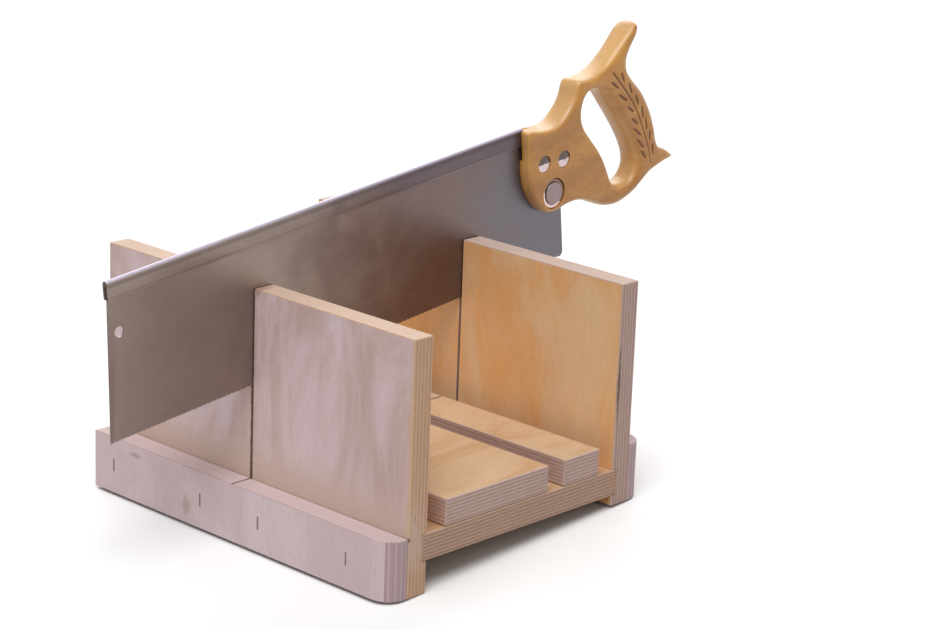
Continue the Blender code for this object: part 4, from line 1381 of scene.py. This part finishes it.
# The third colour of each is the painted shade and dark reflection on one side of the head.
plating = plating_with_painted_shade("plating_with_painted_shade", (214, 194, 196), (176, 156, 154), (84, 72, 70), 0.24)
rim_plating = plating_with_painted_shade("rim_plating", (226, 206, 206), (190, 170, 166), (120, 92, 76), 0.22)
dull_disc = plating_with_painted_shade("dull_disc", (152, 132, 128), (126, 108, 104), (146, 128, 129), 0.34)
print("platings:", plating.name, rim_plating.name, dull_disc.name)

# %% Faces of the heads
HEAD_EDGE_DOWN, HEAD_EDGE_IN = 0.0002, 0.0001
RIM_WIDE, RIM_HIGH, RIM_FOOT = 0.0030, 0.0005, 0.0002
DISC_EDGE, DISC_EDGE_STEPS = 0.0004, 3


def dome(radius, low, high, steps=10):
    """Profile points from the rim of a face shaped like part of a ball to its middle."""
    return [(radius * (1 - step / steps), high - (high - low) * (1 - step / steps) ** 2)
            for step in range(steps + 1)]


def bead(radius, wide, high, foot, steps=10):
    """A half-round rim, from its outer foot over the top to its inner foot."""
    turns = [math.pi * step / steps for step in range(steps + 1)]
    return [(radius - wide / 2 + wide / 2 * math.cos(turn), (high + foot) * math.sin(turn) - foot)
            for turn in turns]


small_face = [(NUT_RADIUS, -NUT_DOME - HEAD_EDGE_DOWN)]
small_face += dome(NUT_RADIUS - HEAD_EDGE_IN, -NUT_DOME, 0.0)
disc_edge_centre = (MEDALLION_DISC - DISC_EDGE, MEDALLION_RAISED - DISC_EDGE)
medallion_face = bead(MEDALLION_RADIUS, RIM_WIDE, RIM_HIGH, RIM_FOOT)
medallion_face += [(MEDALLION_DISC, -RIM_FOOT)]
medallion_face += arc(disc_edge_centre, DISC_EDGE, 0, QUARTER_TURN, DISC_EDGE_STEPS)
medallion_face += [(0, MEDALLION_RAISED)]
print("face points:", len(small_face), len(medallion_face))


# %% Profiles of nuts and bolts
def nut_profile():
    bore = BOLT_RADIUS + GAP
    end = -NUT_THICK - BARREL_LENGTH
    return [(0, -NUT_THICK), (bore, -NUT_THICK), (bore, end), (BARREL_RADIUS, end),
            (BARREL_RADIUS, -NUT_THICK), (NUT_RADIUS, -NUT_THICK), *small_face]


def bolt_profile(head, face):
    _, radius, thick, sunk = head
    grip = HANDLE_THICK - sunk - NUT_SUNK
    length = grip - NUT_THICK - BARREL_LENGTH + BOLT_IN_BARREL
    return [(0, -length), (BOLT_RADIUS, -length), (BOLT_RADIUS, -thick), (radius, -thick), *face]


print("nut profile:", len(nut_profile()), "points")

# %% Turn the fasteners
# The direction along a face towards its painted shade, and how far out that begins
NUT_SHADE_WAY = (0.0, 1.0, 0.0)
MEDALLION_SHADE_WAY = (0.55, 0.83, -0.30)


# How far a point lies towards the side of a head that gets painted shade.
def darkness(corner, label, reach, shade_way):
    along, up = fastener_at(label)
    return ((corner.x - along) * shade_way[0] + (corner.z - up) * shade_way[1]) / reach - shade_way[2]


def add_fastener(name, profile, label, side, sunk, node, shade_way=NUT_SHADE_WAY, metals=(plating,)):
    """A second metal goes on the medallion's raised disc."""
    mesh = finish_mesh(name, stand_fastener(turned_shape(profile), label, side, sunk))
    reach = max(radius for radius, _ in profile)
    shade_sides = [darkness(corner.co, label, reach, shade_way) for corner in mesh.vertices]
    mesh.attributes.new("painted_shade_side", "FLOAT", "POINT").data.foreach_set("value", shade_sides)
    for metal in metals:
        mesh.materials.append(metal)
    for face in mesh.polygons:
        off_centre = math.dist((face.center.x, face.center.z), fastener_at(label))
        on_disc = off_centre < MEDALLION_DISC and face.center.y < MEDALLION_SUNK - HALF_HANDLE
        face.material_index = len(metals) - 1 if on_disc else 0
    saw_piece(name, mesh, node, smooth_angle=30)


for end in ("front", "rear"):
    label = "nut_" + end
    add_fastener("small_nut_" + end, nut_profile(), label, -1, NUT_SUNK, "saw_nut_" + end)
    add_fastener("small_bolt_" + end, bolt_profile(SMALL_HEAD, small_face), label, 1,
                 NUT_SUNK, "saw_bolt_" + end)
add_fastener("medallion", bolt_profile(LARGE_HEAD, medallion_face), "medallion", -1,
             MEDALLION_SUNK, "medallion_bolt", MEDALLION_SHADE_WAY, (rim_plating, dull_disc))
add_fastener("medallion_back_nut", nut_profile(), "medallion", 1, NUT_SUNK, "medallion_nut")

# %% [markdown]
# ## Screws and staples
#
# The staples and screws keep their solids. They are dull zinc, gone grey and a little
# brown in the damp of a workshop.


# %% Dull zinc
def dull_zinc(name, clean, stained):
    material, tree, shader, spot = start_material(name, Metallic=0.9)
    metal = use_group(tree, ground_metal, Vector=spot, Scratch_Size=0.0004, Stretch=0.6,
                      Patch_Size=0.003)
    tone = blend(tree, metal["Patch"], clean, stained)
    tone = overlay(tree, tone, (metal["Scratch"], 0.2, (190, 188, 184)))
    shine = total(tree, 0.42, (metal["Patch"], 0.15))
    end_material(tree, shader, tone, shine, metal["Scratch"], 0.00002)
    return material


zincs = {"_screw_": dull_zinc("screw_zinc", (168, 166, 162), (128, 118, 106)),
         "_staple_": dull_zinc("staple_zinc", (186, 172, 166), (146, 130, 122))}
for kind, zinc in zincs.items():
    small_pieces = [node for node in nodes if kind in node]
    for node in small_pieces:
        clothe(node, zinc)
    print(len(small_pieces), "pieces get", zinc.name)
